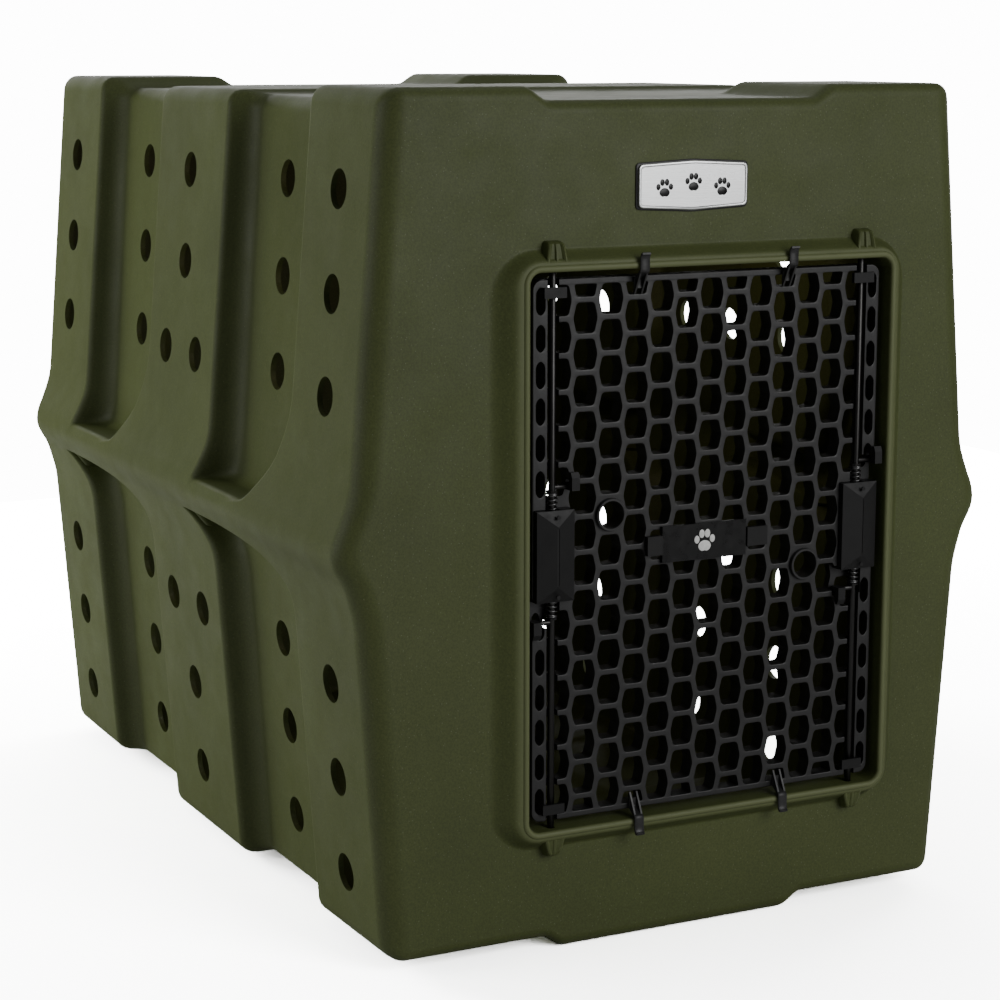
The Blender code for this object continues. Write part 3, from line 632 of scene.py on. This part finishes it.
def frame_loop(bm, offset, y):
    """One loop of the doorway frame; its flank is drawn in at the right, top and bottom."""
    line = rounded_rect(LIP_HALF_X + offset, LIP_HALF_Z + offset, LIP_CORNER + offset, 8)
    spare = max(0.0, offset - FLANK_TOP)
    pull_x = spare * FLANK_PULL_X / (LIP_HALF_X + offset)
    pull_z = spare * FLANK_PULL_Z / (LIP_HALF_Z + offset)
    return [bm.verts.new((DOOR_X + (x - max(x, 0.0) * pull_x), y, DOOR_Z + z - z * pull_z))
            for x, z in line]


def hole_places():
    """Centres of one side's vents: (distance from the middle, height)."""
    places = []
    for z in HOLE_Z_HIGH + HOLE_Z_LOW:
        for y in (RIB_HOLE_Y, CHANNEL_HOLE_Y):
            places += [(y, z), (-y, z)]
    for z in (HOLE_Z_HIGH[0], HOLE_Z_HIGH[1], HOLE_Z_LOW[1], HOLE_Z_LOW[2]):
        places.append((0.0, z))
    for z in (HOLE_Z_HIGH[2], HOLE_Z_LOW[0]):
        places += [(-PAIR_HALF, z), (PAIR_HALF, z)]
    return places


def vent_cutter():
    bm = bmesh.new()
    for y, z in hole_places():
        loops = []
        for x in (-VENT_REACH, VENT_REACH):
            loops.append([bm.verts.new((x, MID_Y + y + HOLE_R * math.cos(a),
                                        z + HOLE_R * math.sin(a)))
                          for a in circle_angles(40)])
        solid_loft(bm, loops)
    return make_object("vents", bm)


def boss_line(half, out, groove):
    """Boss section from side to side, with a groove on each side of its middle: (x, y)."""
    return [(-half - 0.0012, BOSS_ROOT), (-half, out + 0.0016), (-half + 0.0009, out + 0.0004),
            (-half + 0.0022, out), (-half + 0.0034, out + groove * 0.5),
            (-half + 0.0042, out + groove), (-0.0018, out + groove),
            (-0.0008, out + groove * 0.2), (0.0008, out + groove * 0.2),
            (0.0018, out + groove), (half - 0.0042, out + groove),
            (half - 0.0034, out + groove * 0.5), (half - 0.0022, out),
            (half - 0.0009, out + 0.0004), (half, out + 0.0016), (half + 0.0012, BOSS_ROOT)]


def boss_loop(bm, sx, sz, station):
    """One loop of a boss; station is (reach past the lip, half width, fall of the face)."""
    reach, half, back = station
    groove = 0.0024 * max(0.0, 1 - back / 0.005)
    if sz < 0:
        half = half * (1.0 if reach < 0.012 else 1.0 - (reach - 0.012) * 24)
        groove *= 0.5
    line = boss_line(half, PLATEAU_Y + 0.0006 + back, groove)
    cx = DOOR_X + sx * ROD_X
    z = DOOR_Z + sz * (LIP_HALF_Z + reach)
    return [bm.verts.new((cx + x, min(y, BOSS_ROOT - 0.0002) if y < BOSS_ROOT else y, z))
            for x, y in line]


def boss_mesh():
    """Socket bosses: tapered pads with a grooved face, above and below the lip."""
    stations = ((0.0035, 0.0104, -0.0008), (0.0080, 0.0101, -0.0006),
                (0.0150, 0.0092, 0.0002), (0.0200, 0.0084, 0.0009),
                (0.0232, 0.0077, 0.0022), (0.0250, 0.0068, 0.0060),
                (0.0256, 0.0060, 0.0112))
    bm = bmesh.new()
    for sx in (-1, 1):
        for sz in (-1, 1):
            solid_loft(bm, [boss_loop(bm, sx, sz, station) for station in stations])
    return make_object("bosses", bm)


def socket_cutter():
    bm = bmesh.new()
    for sx in (-1, 1):
        for sz in (-1, 1):
            loops = []
            for z in (DOOR_Z + sz * (LIP_HALF_Z - 0.004), DOOR_Z + sz * 0.2575):
                loops.append([bm.verts.new((DOOR_X + sx * ROD_X + SOCKET_R * math.cos(a),
                                            ROD_Y + SOCKET_R * math.sin(a), z))
                              for a in circle_angles(24)])
            solid_loft(bm, loops)
    return make_object("sockets", bm)


def build_shell():
    bm = bmesh.new()
    outer = [ring_verts(bm, line) for line in shell_lines(0.0)]
    inner = [ring_verts(bm, line) for line in shell_lines(WALL)]
    loft(bm, outer)
    loft(bm, inner)
    bm.faces.new(outer[0])
    bm.faces.new(inner[0])
    loops = [frame_loop(bm, offset, y) for offset, y in frame_section()]
    loft(bm, loops)
    fill_with_holes(bm, outer[-1], [loops[0]])
    fill_with_holes(bm, inner[-1], [loops[-1]])
    shell = make_object("carrier_shell", bm)
    boolean(shell, vent_cutter(), "DIFFERENCE")
    boolean(shell, boss_mesh(), "UNION")
    boolean(shell, socket_cutter(), "DIFFERENCE")
    shade(shell, 38)
    add_weighted(shell)
    return shell


# ---- door grid ------------------------------------------------------------
def cell_outline(cx, cz):
    return [(cx - CELL_FLAT, cz - CELL_TALL), (cx + CELL_FLAT, cz - CELL_TALL),
            (cx + CELL_WIDE, cz), (cx + CELL_FLAT, cz + CELL_TALL),
            (cx - CELL_FLAT, cz + CELL_TALL), (cx - CELL_WIDE, cz)]


def cut_cell_outline(cx, cz, cut, up):
    """Half a cell at the top (up) or the bottom of the door, with its flat end at cut."""
    if up:
        return [(cx - CELL_FLAT, cz - CELL_TALL), (cx + CELL_FLAT, cz - CELL_TALL),
                (cx + CELL_WIDE - CUT_NARROW, cut), (cx - CELL_WIDE + CUT_NARROW, cut)]
    return [(cx - CELL_WIDE + CUT_NARROW, cut), (cx + CELL_WIDE - CUT_NARROW, cut),
            (cx + CELL_FLAT, cz + CELL_TALL), (cx - CELL_FLAT, cz + CELL_TALL)]


def under_latch(x, z):
    return abs(x) > 0.135 and abs(z) < 0.046


def even_column(column):
    """A column of whole cells, with a round port in two of the columns."""
    x = column * CELL_X
    cells = []
    for row in range(-7, 8):
        z = row * CELL_Z
        if (column, row) in PORTS:
            cells.append([(x + PORT_R * math.cos(a), z + PORT_R * math.sin(a))
                          for a in circle_angles(24)])
        elif not under_latch(x, z):
            cells.append(rounded_polygon(cell_outline(x, z), 0.0030, 3))
    return cells


def odd_column(column):
    """A column half a cell out of step, closed by a cut cell at each end."""
    x = column * CELL_X
    cells = []
    for row in range(-7, 7):
        cells.append(rounded_polygon(cell_outline(x, (row + 0.5) * CELL_Z), 0.0030, 3))
    end = 7.5 * CELL_Z
    bar = CELL_Z / 2 - CELL_TALL
    cells.append(rounded_polygon(cut_cell_outline(x, end, end - bar, True), 0.0022, 3))
    cells.append(rounded_polygon(cut_cell_outline(x, -end, -end + bar, False), 0.0022, 3))
    return cells


def edge_cells(side):
    """Narrow cells down one edge of the door."""
    cells = []
    for row in range(-7, 8):
        x, z, s = side * EDGE_CELL_X, row * CELL_Z, 0.0042
        if under_latch(x, z):
            continue
        line = [(x - s, z - 0.008), (x, z - 0.0125), (x + s, z - 0.008),
                (x + s, z + 0.008), (x, z + 0.0125), (x - s, z + 0.008)]
        cells.append(rounded_polygon(line, 0.0035, 3))
    return cells


def grid_cells():
    cells = []
    for column in range(-6, 7):
        cells += even_column(column) if column % 2 == 0 else odd_column(column)
    return cells + edge_cells(-1) + edge_cells(1)


def door_loop(bm, line, y):
    return [bm.verts.new((DOOR_X + x, y, DOOR_Z + z)) for x, z in line]


def box_cutter(name, rects, y0, y1):
    """Boxes from (x0, x1, z0, z1) on the door's middle, between two depths."""
    bm = bmesh.new()
    for x0, x1, z0, z1 in rects:
        line = [(x0, z0), (x1, z0), (x1, z1), (x0, z1)]
        solid_loft(bm, [door_loop(bm, line, y) for y in (y0, y1)])
    return make_object(name, bm)


def port_rings():
    """The raised rims around the grid's two round ports."""
    profile = ((0.0118, FACE_Y + 0.0040), (0.0118, FACE_Y - 0.0033),
               (0.0122, FACE_Y - 0.0038), (0.0139, FACE_Y - 0.0038),
               (0.0143, FACE_Y - 0.0033), (0.0146, FACE_Y + 0.0040))
    bm = bmesh.new()
    for column, row in PORTS:
        loops = []
        for radius, y in profile:
            line = arc(column * CELL_X, row * CELL_Z, radius, 0, 360 - 7.5, 47)
            loops.append(door_loop(bm, line, y))
        loft(bm, loops, closed=True)
    return make_object("port_rings", bm)


def grid_mesh():
    """The honeycomb panel with softened cell edges."""
    bm = bmesh.new()
    back = FACE_Y + GRID_THICK
    levels = ((0.0007, FACE_Y), (0.0002, FACE_Y + 0.0002), (0.0, FACE_Y + 0.0007),
              (-0.0002, back - 0.0004), (0.0001, back))
    fronts, backs = [], []
    for cell in grid_cells():
        loops = [door_loop(bm, grow_outline(cell, by), y) for by, y in levels]
        loft(bm, loops)
        fronts.append(loops[0])
        backs.append(loops[-1])
    rim_levels = ((-0.0009, FACE_Y), (-0.0003, FACE_Y + 0.0003), (0.0, FACE_Y + 0.0010),
                  (0.0, back - 0.0004), (-0.0004, back))
    rim = []
    for by, y in rim_levels:
        line = rounded_rect(GRID_HALF_X + by, GRID_HALF_Z + by, GRID_CORNER + by, 5)
        rim.append(door_loop(bm, line, y))
    loft(bm, rim)
    fill_with_holes(bm, rim[0], fronts)
    fill_with_holes(bm, rim[-1], backs)
    return make_object("door_honeycomb", bm)


def leg_rooms():
    """Room in the grid's face for each rod's leg and spring."""
    rooms = []
    for _, sx, sz, way in SPOTS:
        x = sx * ROD_X
        xs = sorted((x - way * 0.0070, x + way * (LEG_LONG + 0.002)))
        zs = sorted((sz * 0.0365, sz * (LEG_Z + 0.0050)))
        rooms.append((xs[0], xs[1], zs[0], zs[1]))
    return rooms


def build_grid():
    grid = grid_mesh()
    boolean(grid, port_rings(), "UNION")
    proud = FACE_Y - 0.01
    grooves = [(s * ROD_X - 0.0055, s * ROD_X + 0.0055, -0.26, 0.26) for s in (-1, 1)]
    boolean(grid, box_cutter("grooves", grooves, proud, FACE_Y + 0.0064), "DIFFERENCE")
    pockets = [(s * ROD_X - 0.0185, s * ROD_X + 0.0185, -0.0400, 0.0400) for s in (-1, 1)]
    boolean(grid, box_cutter("pockets", pockets, proud, POCKET_Y), "DIFFERENCE")
    boolean(grid, box_cutter("rooms", leg_rooms(), proud, POCKET_Y), "DIFFERENCE")
    shade(grid, 32)
    add_weighted(grid)
    return grid


# ---- rods and springs -----------------------------------------------------
def build_rod(spot, sx, sz, way):
    x = DOOR_X + sx * ROD_X
    z0 = DOOR_Z + sz * ROD_END
    z1 = DOOR_Z + sz * ROD_TIP
    tip = 0.0012 * sz
    sizes = (ROD_R * 0.85, ROD_R, ROD_R, ROD_R * 0.7)
    bm = bmesh.new()
    tube(bm, [(x, ROD_Y, z0), (x, ROD_Y, z0 + tip * 0.3), (x, ROD_Y, z1 - tip), (x, ROD_Y, z1)],
         lambda k: sizes[k], 28)
    rod = make_object(spot + "_bright_rod", bm)
    z = DOOR_Z + sz * LEG_Z
    end = x + way * LEG_LONG
    leg_sizes = (LEG_R, LEG_R, 0.0016)
    bm = bmesh.new()
    tube(bm, [(x, ROD_Y, z), (end - way * 0.0008, ROD_Y, z), (end, ROD_Y, z)],
         lambda k: leg_sizes[k], 20)
    boolean(rod, make_object("leg", bm), "UNION")
    shade(rod, 40)
    return rod


def coil_share(t):
    """Share of the spring's length at a share of its turns, with closed end turns."""
    flat = 0.09
    middle = min(1.0, max(0.0, (t - flat) / (1 - 2 * flat)))
    return middle * 0.90 + 0.05 * (t > 0.5) + 0.05 * t


def build_spring(spot, sx, sz):
    x = DOOR_X + sx * ROD_X
    start = DOOR_Z + sz * (SPRING_SEAT + SPRING_WIRE + GAP)
    end = DOOR_Z + sz * (LEG_Z - LEG_R - RETAINER_DEEP - SPRING_WIRE - GAP)
    steps = 20
    total = SPRING_TURNS * steps
    points = []
    for k in range(total + 1):
        a = 2 * math.pi * k / steps
        points.append((x + SPRING_R * math.cos(a), ROD_Y + SPRING_R * math.sin(a),
                       start + (end - start) * coil_share(k / total)))
    bm = bmesh.new()
    tube(bm, points, SPRING_WIRE, 8)
    return make_object(spot + "_coil", bm, 60)


# ---- stop hooks -----------------------------------------------------------
def strap_path():
    """Stop hook seen from the side: (forward of the door face, up from the door's middle)."""
    return [(0.0016, 0.2240), (0.0016, 0.2290), (0.0026, 0.2330), (LIP_OUT + 0.0006, 0.2385),
            (LIP_OUT + 0.0016, 0.2410), (LIP_OUT + 0.0017, 0.2460), (LIP_OUT + 0.0018, 0.2495),
            (LIP_OUT + 0.0024, 0.2520), (LIP_OUT + 0.0036, 0.2537), (LIP_OUT + 0.0049, 0.2541)]


def smooth_path(path):
    """Points along a Catmull-Rom curve through a path, three to a stretch."""
    raw = [Vector(p) for p in path]
    pts = []
    for k in range(len(raw) - 1):
        p0 = raw[max(k - 1, 0)]
        p1, p2 = raw[k], raw[k + 1]
        p3 = raw[min(k + 2, len(raw) - 1)]
        for j in range(3):
            t = j / 3
            pts.append(0.5 * ((2 * p1) + (p2 - p0) * t + (2 * p0 - 5 * p1 + 4 * p2 - p3) * t * t
                              + (3 * p1 - p0 - 3 * p2 + p3) * t ** 3))
    pts.append(raw[-1])
    return pts


def strap_mesh(name, x, sz):
    """The hook's strap: a flat bar with chamfered edges along its path."""
    section = ((-1, -1), (-0.86, -1.0), (0.86, -1.0), (1, -1),
               (1, 1), (0.86, 1.0), (-0.86, 1.0), (-1, 1))
    pts = smooth_path(strap_path())
    bm = bmesh.new()
    loops = []
    for k, p in enumerate(pts):
        along = path_direction(pts, k)
        n = Vector((along.y, -along.x))
        thick = 0.0011 if k < len(pts) - 1 else 0.0008
        half = 0.0045 if k < len(pts) - 2 else 0.0041
        loop = []
        for side, lift in section:
            shrink = 0.55 if abs(side) == 1 else 1.0
            q = p + n * (thick * lift * shrink)
            loop.append(bm.verts.new((x + side * half, FACE_Y - GAP - q.x, DOOR_Z + sz * q.y)))
        loops.append(loop)
    solid_loft(bm, loops)
    return make_object(name, bm)


def strut_mesh(x, sz):
    """Two gusset struts from the rail up to the strap."""
    outline = [(0.0, 0.2190), (0.0014, 0.2190), (LIP_OUT + 0.0004, 0.2370),
               (LIP_OUT + 0.0008, 0.2400), (LIP_OUT - 0.0012, 0.2392), (0.0, 0.2300)]
    bm = bmesh.new()
    for side in (-1, 1):
        loops = []
        for dx in (-0.0008, 0.0008):
            loops.append([bm.verts.new((x + side * 0.0033 + dx, FACE_Y - GAP - a, DOOR_Z + sz * b))
                          for a, b in outline])
        solid_loft(bm, loops)
    return make_object("struts", bm)


def build_hook(name, column, sz):
    x = DOOR_X + column * CELL_X
    hook = strap_mesh(name, x, sz)
    boolean(hook, strut_mesh(x, sz), "UNION")
    shade(hook, 42)
    return hook


# ---- nameplate and paw marks ----------------------------------------------
def badge_layer(name, hexagon, levels):
    """Rounded six-sided plate built up from (growth, distance before the wall) levels."""
    half_x, mid, end = hexagon
    line = [(-half_x, -end), (0.0, -mid), (half_x, -end),
            (half_x, end), (0.0, mid), (-half_x, end)]
    bm = bmesh.new()
    loops = []
    for grow, proud in levels:
        outline = rounded_polygon(grow_outline(line, grow), 0.0042 + grow * 0.5, 4)
        loops.append([bm.verts.new((BADGE_X + x, FRONT_Y - proud, BADGE_Z + z))
                      for x, z in outline])
    solid_loft(bm, loops)
    return make_object(name, bm, 30)


def build_badge(black, plate, ink):
    back = badge_layer("badge_outline", (0.0552, 0.0224, 0.0196),
                       ((0.0, 0.0004), (0.0, 0.0011), (-0.0006, 0.0015)))
    dress_piece(back, black, "shell", "black_plastic", "badge_backing")
    face = badge_layer("badge_face", (0.0535, 0.0208, 0.0180),
                       ((0.0, 0.0019), (0.0, 0.0035), (-0.0003, 0.0040), (-0.0008, 0.0042),
                        (-0.0015, 0.0042), (-0.0020, 0.0039), (-0.0024, 0.0034)))
    dress_piece(face, plate, "shell", "badge_metal", "badge_plate")
    bm = bmesh.new()
    for k, dz in ((-1, -0.0022), (0, 0.0022), (1, -0.0022)):
        paw(bm, BADGE_X + 0.0285 * k, BADGE_Z + dz, 0.0118, FRONT_Y - 0.00335)
    dress_piece(make_object("badge_paw_marks", bm, 40), ink, "shell", "black_plastic")


def pad_point(a, rx, rz, grow):
    """Point of a paw pad's outline; the large pad is hollowed underneath."""
    dx = math.cos(a) * rx * grow
    dz = math.sin(a) * rz * grow
    if rx > 0.3 and dz < 0:
        dz *= 1.0 - 0.38 * math.cos(a) ** 2 * 0.5 - 0.25 * math.exp(-(dx / 0.14) ** 2)
    return dx, dz


def paw(bm, cx, cz, size, y):
    """Plain paw mark as thin raised pads."""
    for px, pz, rx, rz in PAW_PADS:
        loops = []
        for grow, lift in ((1.0, 0.0), (1.0, 0.00025), (0.90, 0.0004)):
            loop = []
            for a in circle_angles(28):
                dx, dz = pad_point(a, rx, rz, grow)
                loop.append(bm.verts.new((cx + (px + dx) * size, y - lift, cz + (pz + dz) * size)))
            loops.append(loop)
        solid_loft(bm, loops)


# ---- materials ------------------------------------------------------------
def grey(value):
    return value, value, value


def tinted(colour, share):
    return tuple(min(1, v * share) for v in colour)


def node(tree, kind, **values):
    n = tree.nodes.new(kind)
    for key, value in values.items():
        if key in n.inputs.keys():
            n.inputs[key].default_value = value
        else:
            setattr(n, key, value)
    return n


def start_material(name, colour, rough, metallic=0.0):
    mat = bpy.data.materials.new(name)
    mat.use_nodes = True
    tree = mat.node_tree
    shader = tree.nodes["Principled BSDF"]
    shader.inputs["Base Color"].default_value = (*colour, 1)
    shader.inputs["Roughness"].default_value = rough
    shader.inputs["Metallic"].default_value = metallic
    mat.diffuse_color = (*colour, 1)
    coords = tree.nodes.new("ShaderNodeTexCoord")
    return mat, tree, shader, coords.outputs["Object"]


def ramp(tree, source, stops):
    n = tree.nodes.new("ShaderNodeValToRGB")
    while len(n.color_ramp.elements) < len(stops):
        n.color_ramp.elements.new(0.5)
    for element, (place, colour) in zip(n.color_ramp.elements, stops):
        element.position = place
        element.color = (*colour, 1)
    tree.links.new(source, n.inputs["Fac"])
    return n.outputs["Color"]


def noise(tree, coords, scale, detail=3.0, rough=0.55):
    n = node(tree, "ShaderNodeTexNoise", Scale=scale, Detail=detail, Roughness=rough)
    tree.links.new(coords, n.inputs["Vector"])
    return n.outputs["Fac"]


def mix(tree, factor, a, b, blend="MIX"):
    n = tree.nodes.new("ShaderNodeMix")
    n.data_type = "RGBA"
    n.blend_type = blend
    for source, key in ((factor, 0), (a, 6), (b, 7)):
        if isinstance(source, (int, float)):
            n.inputs[key].default_value = source
        elif isinstance(source, tuple):
            n.inputs[key].default_value = (*source, 1)
        else:
            tree.links.new(source, n.inputs[key])
    return n.outputs[2]


def bump(tree, shader, layers):
    """Stack bump layers: (height, strength, distance)."""
    last = None
    for height, strength, distance in layers:
        n = node(tree, "ShaderNodeBump", Strength=strength, Distance=distance)
        tree.links.new(height, n.inputs["Height"])
        if last is not None:
            tree.links.new(last, n.inputs["Normal"])
        last = n.outputs["Normal"]
    tree.links.new(last, shader.inputs["Normal"])


def vary_roughness(tree, shader, source, low, high):
    tone = ramp(tree, source, ((0.3, grey(low)), (0.7, grey(high))))
    tree.links.new(tone, shader.inputs["Roughness"])


def pale_flecks(tree, coords):
    """Strength of the small pale flecks scattered in the moulded plastic."""
    cells = node(tree, "ShaderNodeTexVoronoi", Scale=260.0)
    tree.links.new(coords, cells.inputs["Vector"])
    dots = ramp(tree, cells.outputs["Distance"], ((0.10, grey(1)), (0.17, grey(0))))
    pick = ramp(tree, cells.outputs["Color"], ((0.62, grey(0)), (0.78, grey(1))))
    fleck = mix(tree, 1.0, dots, pick, "MULTIPLY")
    return mix(tree, 0.30, grey(0), fleck)


def lip_highlight_mask(tree, coords):
    """Painted highlight: how far a point is out on the doorway's lip, from its depth on the
    object; the lip crest and the boss ridges are painted paler in place of the light they catch.
    """
    split = tree.nodes.new("ShaderNodeSeparateXYZ")
    tree.links.new(coords, split.inputs["Vector"])
    lip = node(tree, "ShaderNodeMapRange")
    for k, value in ((1, PLATEAU_Y + 0.0020), (2, CREST_Y + 0.0003), (3, 0.0), (4, 0.85)):
        lip.inputs[k].default_value = value
    tree.links.new(split.outputs["Y"], lip.inputs[0])
    return lip.outputs[0]


def green_plastic():
    mat, tree, shader, co = start_material("olive_moulded_plastic", OLIVE, 0.5)
    cloud = noise(tree, co, 7.0, 4.0)
    tone = ramp(tree, cloud, ((0.30, tinted(OLIVE, 0.90)), (0.70, tinted(OLIVE, 1.08))))
    grain = noise(tree, co, 520.0, 2.0, 0.6)
    fine = ramp(tree, grain, ((0.34, grey(0.86)), (0.66, grey(1.12))))
    tone = mix(tree, 1.0, tone, fine, "MULTIPLY")
    tone = mix(tree, pale_flecks(tree, co), tone, OLIVE_FLECK)
    # painted highlight: the lip crest and the boss ridges blend towards a paler olive by their
    # depth
    tone = mix(tree, lip_highlight_mask(tree, co), tone, OLIVE_LIP_HIGHLIGHT)
    tree.links.new(tone, shader.inputs["Base Color"])
    vary_roughness(tree, shader, noise(tree, co, 26.0, 5.0), 0.52, 0.64)
    shader.inputs["Specular IOR Level"].default_value = 0.34
    bump(tree, shader, ((noise(tree, co, 5.0, 2.0), 0.35, 0.004),
                        (noise(tree, co, 60.0, 3.0), 0.18, 0.0006),
                        (noise(tree, co, 900.0, 2.0), 0.30, 0.00025)))
    return mat


def black_plastic(name, tone, rough, texture, shine=0.5):
    mat, tree, shader, co = start_material(name, grey(tone), rough)
    shader.inputs["Specular IOR Level"].default_value = shine
    cloud = noise(tree, co, 40.0, 4.0)
    col = ramp(tree, cloud, ((0.3, (tone * 0.8, tone * 0.8, tone * 0.82)),
                             (0.7, (tone * 1.3, tone * 1.28, tone * 1.25))))
    tree.links.new(col, shader.inputs["Base Color"])
    vary_roughness(tree, shader, noise(tree, co, 120.0, 4.0), rough - 0.06, rough + 0.08)
    bump(tree, shader, ((noise(tree, co, 25.0, 2.0), 0.15, 0.0012),
                        (noise(tree, co, 1100.0, 2.0), texture, 0.0002)))
    return mat


def metal(name, colour, rough, stretch):
    mat, tree, shader, co = start_material(name, colour, rough, 1.0)
    place = tree.nodes.new("ShaderNodeMapping")
    place.inputs["Scale"].default_value = stretch
    tree.links.new(co, place.inputs["Vector"])
    lines = noise(tree, place.outputs["Vector"], 1.0, 4.0, 0.7)
    col = ramp(tree, lines, ((0.3, tinted(colour, 0.82)), (0.7, tinted(colour, 1.12))))
    tree.links.new(col, shader.inputs["Base Color"])
    vary_roughness(tree, shader, lines, rough * 0.8, rough * 1.3)
    bump(tree, shader, ((lines, 0.12, 0.0002),))
    return mat


def white_paint():
    mat, tree, shader, co = start_material("white_mark", (0.72, 0.72, 0.70), 0.45)
    spots = noise(tree, co, 300.0, 3.0)
    col = ramp(tree, spots, ((0.3, (0.62, 0.62, 0.60)), (0.7, (0.78, 0.78, 0.76))))
    tree.links.new(col, shader.inputs["Base Color"])
    bump(tree, shader, ((noise(tree, co, 900.0, 2.0), 0.2, 0.0002),))
    return mat


def put_material(obj, mat):
    obj.data.materials.clear()
    obj.data.materials.append(mat)
    for poly in obj.data.polygons:
        poly.material_index = 0


def recoat(obj, mat):
    """New material on a CAD node, which keeps its mesh as it is."""
    for slot in obj.material_slots:
        slot.material = mat


# ---- stage ----------------------------------------------------------------
def area_light(name, place, target, width, height, power, colour=(1, 1, 1)):
    light = bpy.data.lights.new(name, "AREA")
    light.shape = "RECTANGLE"
    light.size = width
    light.size_y = height
    light.energy = power
    light.color = colour
    obj = bpy.data.objects.new(name, light)
    bpy.context.scene.collection.objects.link(obj)
    obj.location = place
    aim = Vector(target) - Vector(place)
    obj.rotation_euler = aim.to_track_quat("-Z", "Y").to_euler()
    return obj


def build_floor():
    """Plain floor that lights the object softly and looks pale."""
    bm = bmesh.new()
    bmesh.ops.create_grid(bm, x_segments=24, y_segments=24, size=1.9)
    floor = make_object("floor", bm)
    floor.location = (0, 0, -0.0006)
    mat = bpy.data.materials.new("pale_floor")
    mat.use_nodes = True
    tree = mat.node_tree
    tree.nodes.remove(tree.nodes["Principled BSDF"])
    soft = tree.nodes.new("ShaderNodeBsdfDiffuse")
    path = tree.nodes.new("ShaderNodeLightPath")
    tone = mix(tree, path.outputs["Is Camera Ray"], grey(FLOOR_LIT), grey(FLOOR_SEEN))
    tree.links.new(tone, soft.inputs["Color"])
    tree.links.new(soft.outputs["BSDF"], tree.nodes["Material Output"].inputs["Surface"])
    put_material(floor, mat)


def build_world():
    """Faint even light, with a plain white surround to look at."""
    world = bpy.data.worlds.new("studio")
    bpy.context.scene.world = world
    world.use_nodes = True
    tree = world.node_tree
    back = tree.nodes["Background"]
    back.inputs["Color"].default_value = (1, 1, 1, 1)
    back.inputs["Strength"].default_value = WORLD_LIT
    seen = tree.nodes.new("ShaderNodeBackground")
    seen.inputs["Color"].default_value = (1, 1, 1, 1)
    seen.inputs["Strength"].default_value = WORLD_SEEN
    path = tree.nodes.new("ShaderNodeLightPath")
    both = tree.nodes.new("ShaderNodeMixShader")
    tree.links.new(path.outputs["Is Camera Ray"], both.inputs["Fac"])
    tree.links.new(back.outputs["Background"], both.inputs[1])
    tree.links.new(seen.outputs["Background"], both.inputs[2])
    tree.links.new(both.outputs["Shader"], tree.nodes["World Output"].inputs["Surface"])


def build_lights():
    area_light("left_soft", (-3.2, 0.7, 1.0), AIM, 1.8, 2.0, 27)
    rear = area_light("left_rear_soft", (-1.9, 3.2, 0.8), AIM, 1.8, 1.6, 175)
    rear.visible_glossy = False
    area_light("front_right_soft", (1.0, -3.2, 1.45), AIM, 1.8, 1.9, 60)
    area_light("top_soft", (0.1, 0.6, 3.2), AIM, 2.2, 2.2, 12)
    area_light("back_panel", (0.9, 3.6, 1.5), AIM, 4.0, 1.6, 60)
    area_light("cabin_glow", (0.0, -0.30, 0.66), (0.0, 0.40, 0.30), 0.25, 0.10, 0.4,
               (1.0, 0.80, 0.62))
    area_light("right_rear_soft", (2.8, 1.6, 1.2), AIM, 1.6, 1.6, 40)


def build_camera():
    data = bpy.data.cameras.new("camera")
    data.lens = CAMERA_LENS
    data.sensor_width = 36.0
    data.sensor_fit = "HORIZONTAL"
    data.clip_end = 100
    cam = bpy.data.objects.new("camera", data)
    bpy.context.scene.collection.objects.link(cam)
    cam.location = CAMERA_AT
    cam.rotation_euler = (math.radians(90 - CAMERA_DOWN), 0.0, math.radians(CAMERA_TURN))
    bpy.context.scene.camera = cam


# ---- put it together ------------------------------------------------------
def dress_piece(obj, mat, body, slot, *nodes):
    put_material(obj, mat)
    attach(obj, body)
    if nodes:
        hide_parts(*nodes)


def dress_rods(steel, coil):
    for spot, sx, sz, way in SPOTS:
        dress_piece(build_rod(spot, sx, sz, way), steel, spot + "_rod", "rod_steel", spot + "_rod")
        spring = build_spring(spot, sx, sz)
        dress_piece(spring, coil, "door", "spring_steel", spot + "_spring")
        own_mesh(spring)


def dress_fittings(steel, glossy, satin):
    """Soft edges and new materials on the CAD nodes that stay in view."""
    for name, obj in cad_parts.items():
        for key, width in EDGE_BEVELS.items():
            if not name.endswith(key):
                continue
            add_bevel(obj, width)
            if key == "retainer":
                recoat(obj, steel)
            elif key == "door_plaque":
                recoat(obj, glossy)
            else:
                recoat(obj, satin)


def mark_plaque(white):
    low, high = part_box("door_plaque")
    bm = bmesh.new()
    paw(bm, (low[0] + high[0]) / 2, (low[2] + high[2]) / 2, 0.0150, low[1] + 0.00005)
    dress_piece(make_object("plaque_paw_mark", bm, 40), white, "door", "black_plastic")


def main():
    green = green_plastic()
    black = black_plastic("black_moulded_plastic", 0.0105, 0.44, 0.35)
    glossy = black_plastic("black_plate_plastic", 0.0035, 0.30, 0.12, 0.35)
    satin = black_plastic("black_fitting_plastic", 0.0060, 0.50, 0.30, 0.30)
    steel = metal("bright_wire_steel", (0.046, 0.045, 0.044), 0.34, (900.0, 900.0, 60.0))
    coil = metal("dark_spring_steel", (0.16, 0.16, 0.16), 0.34, (700.0, 700.0, 700.0))
    plate = metal("satin_nameplate", (0.78, 0.79, 0.79), 0.36, (35.0, 900.0, 1400.0))
    white = white_paint()

    dress_piece(build_shell(), green, "shell", "shell_plastic", "shell")
    dress_piece(build_grid(), black, "door", "black_plastic", "door_grid")
    dress_rods(steel, coil)
    for name, column, sz in HOOKS:
        dress_piece(build_hook(name + "_strap", column, sz), black, "door", "black_plastic",
                    name + "_stop_hook")
    build_badge(black, plate, glossy)
    dress_fittings(steel, glossy, satin)
    mark_plaque(white)

    build_floor()
    build_world()
    build_lights()
    build_camera()


main()
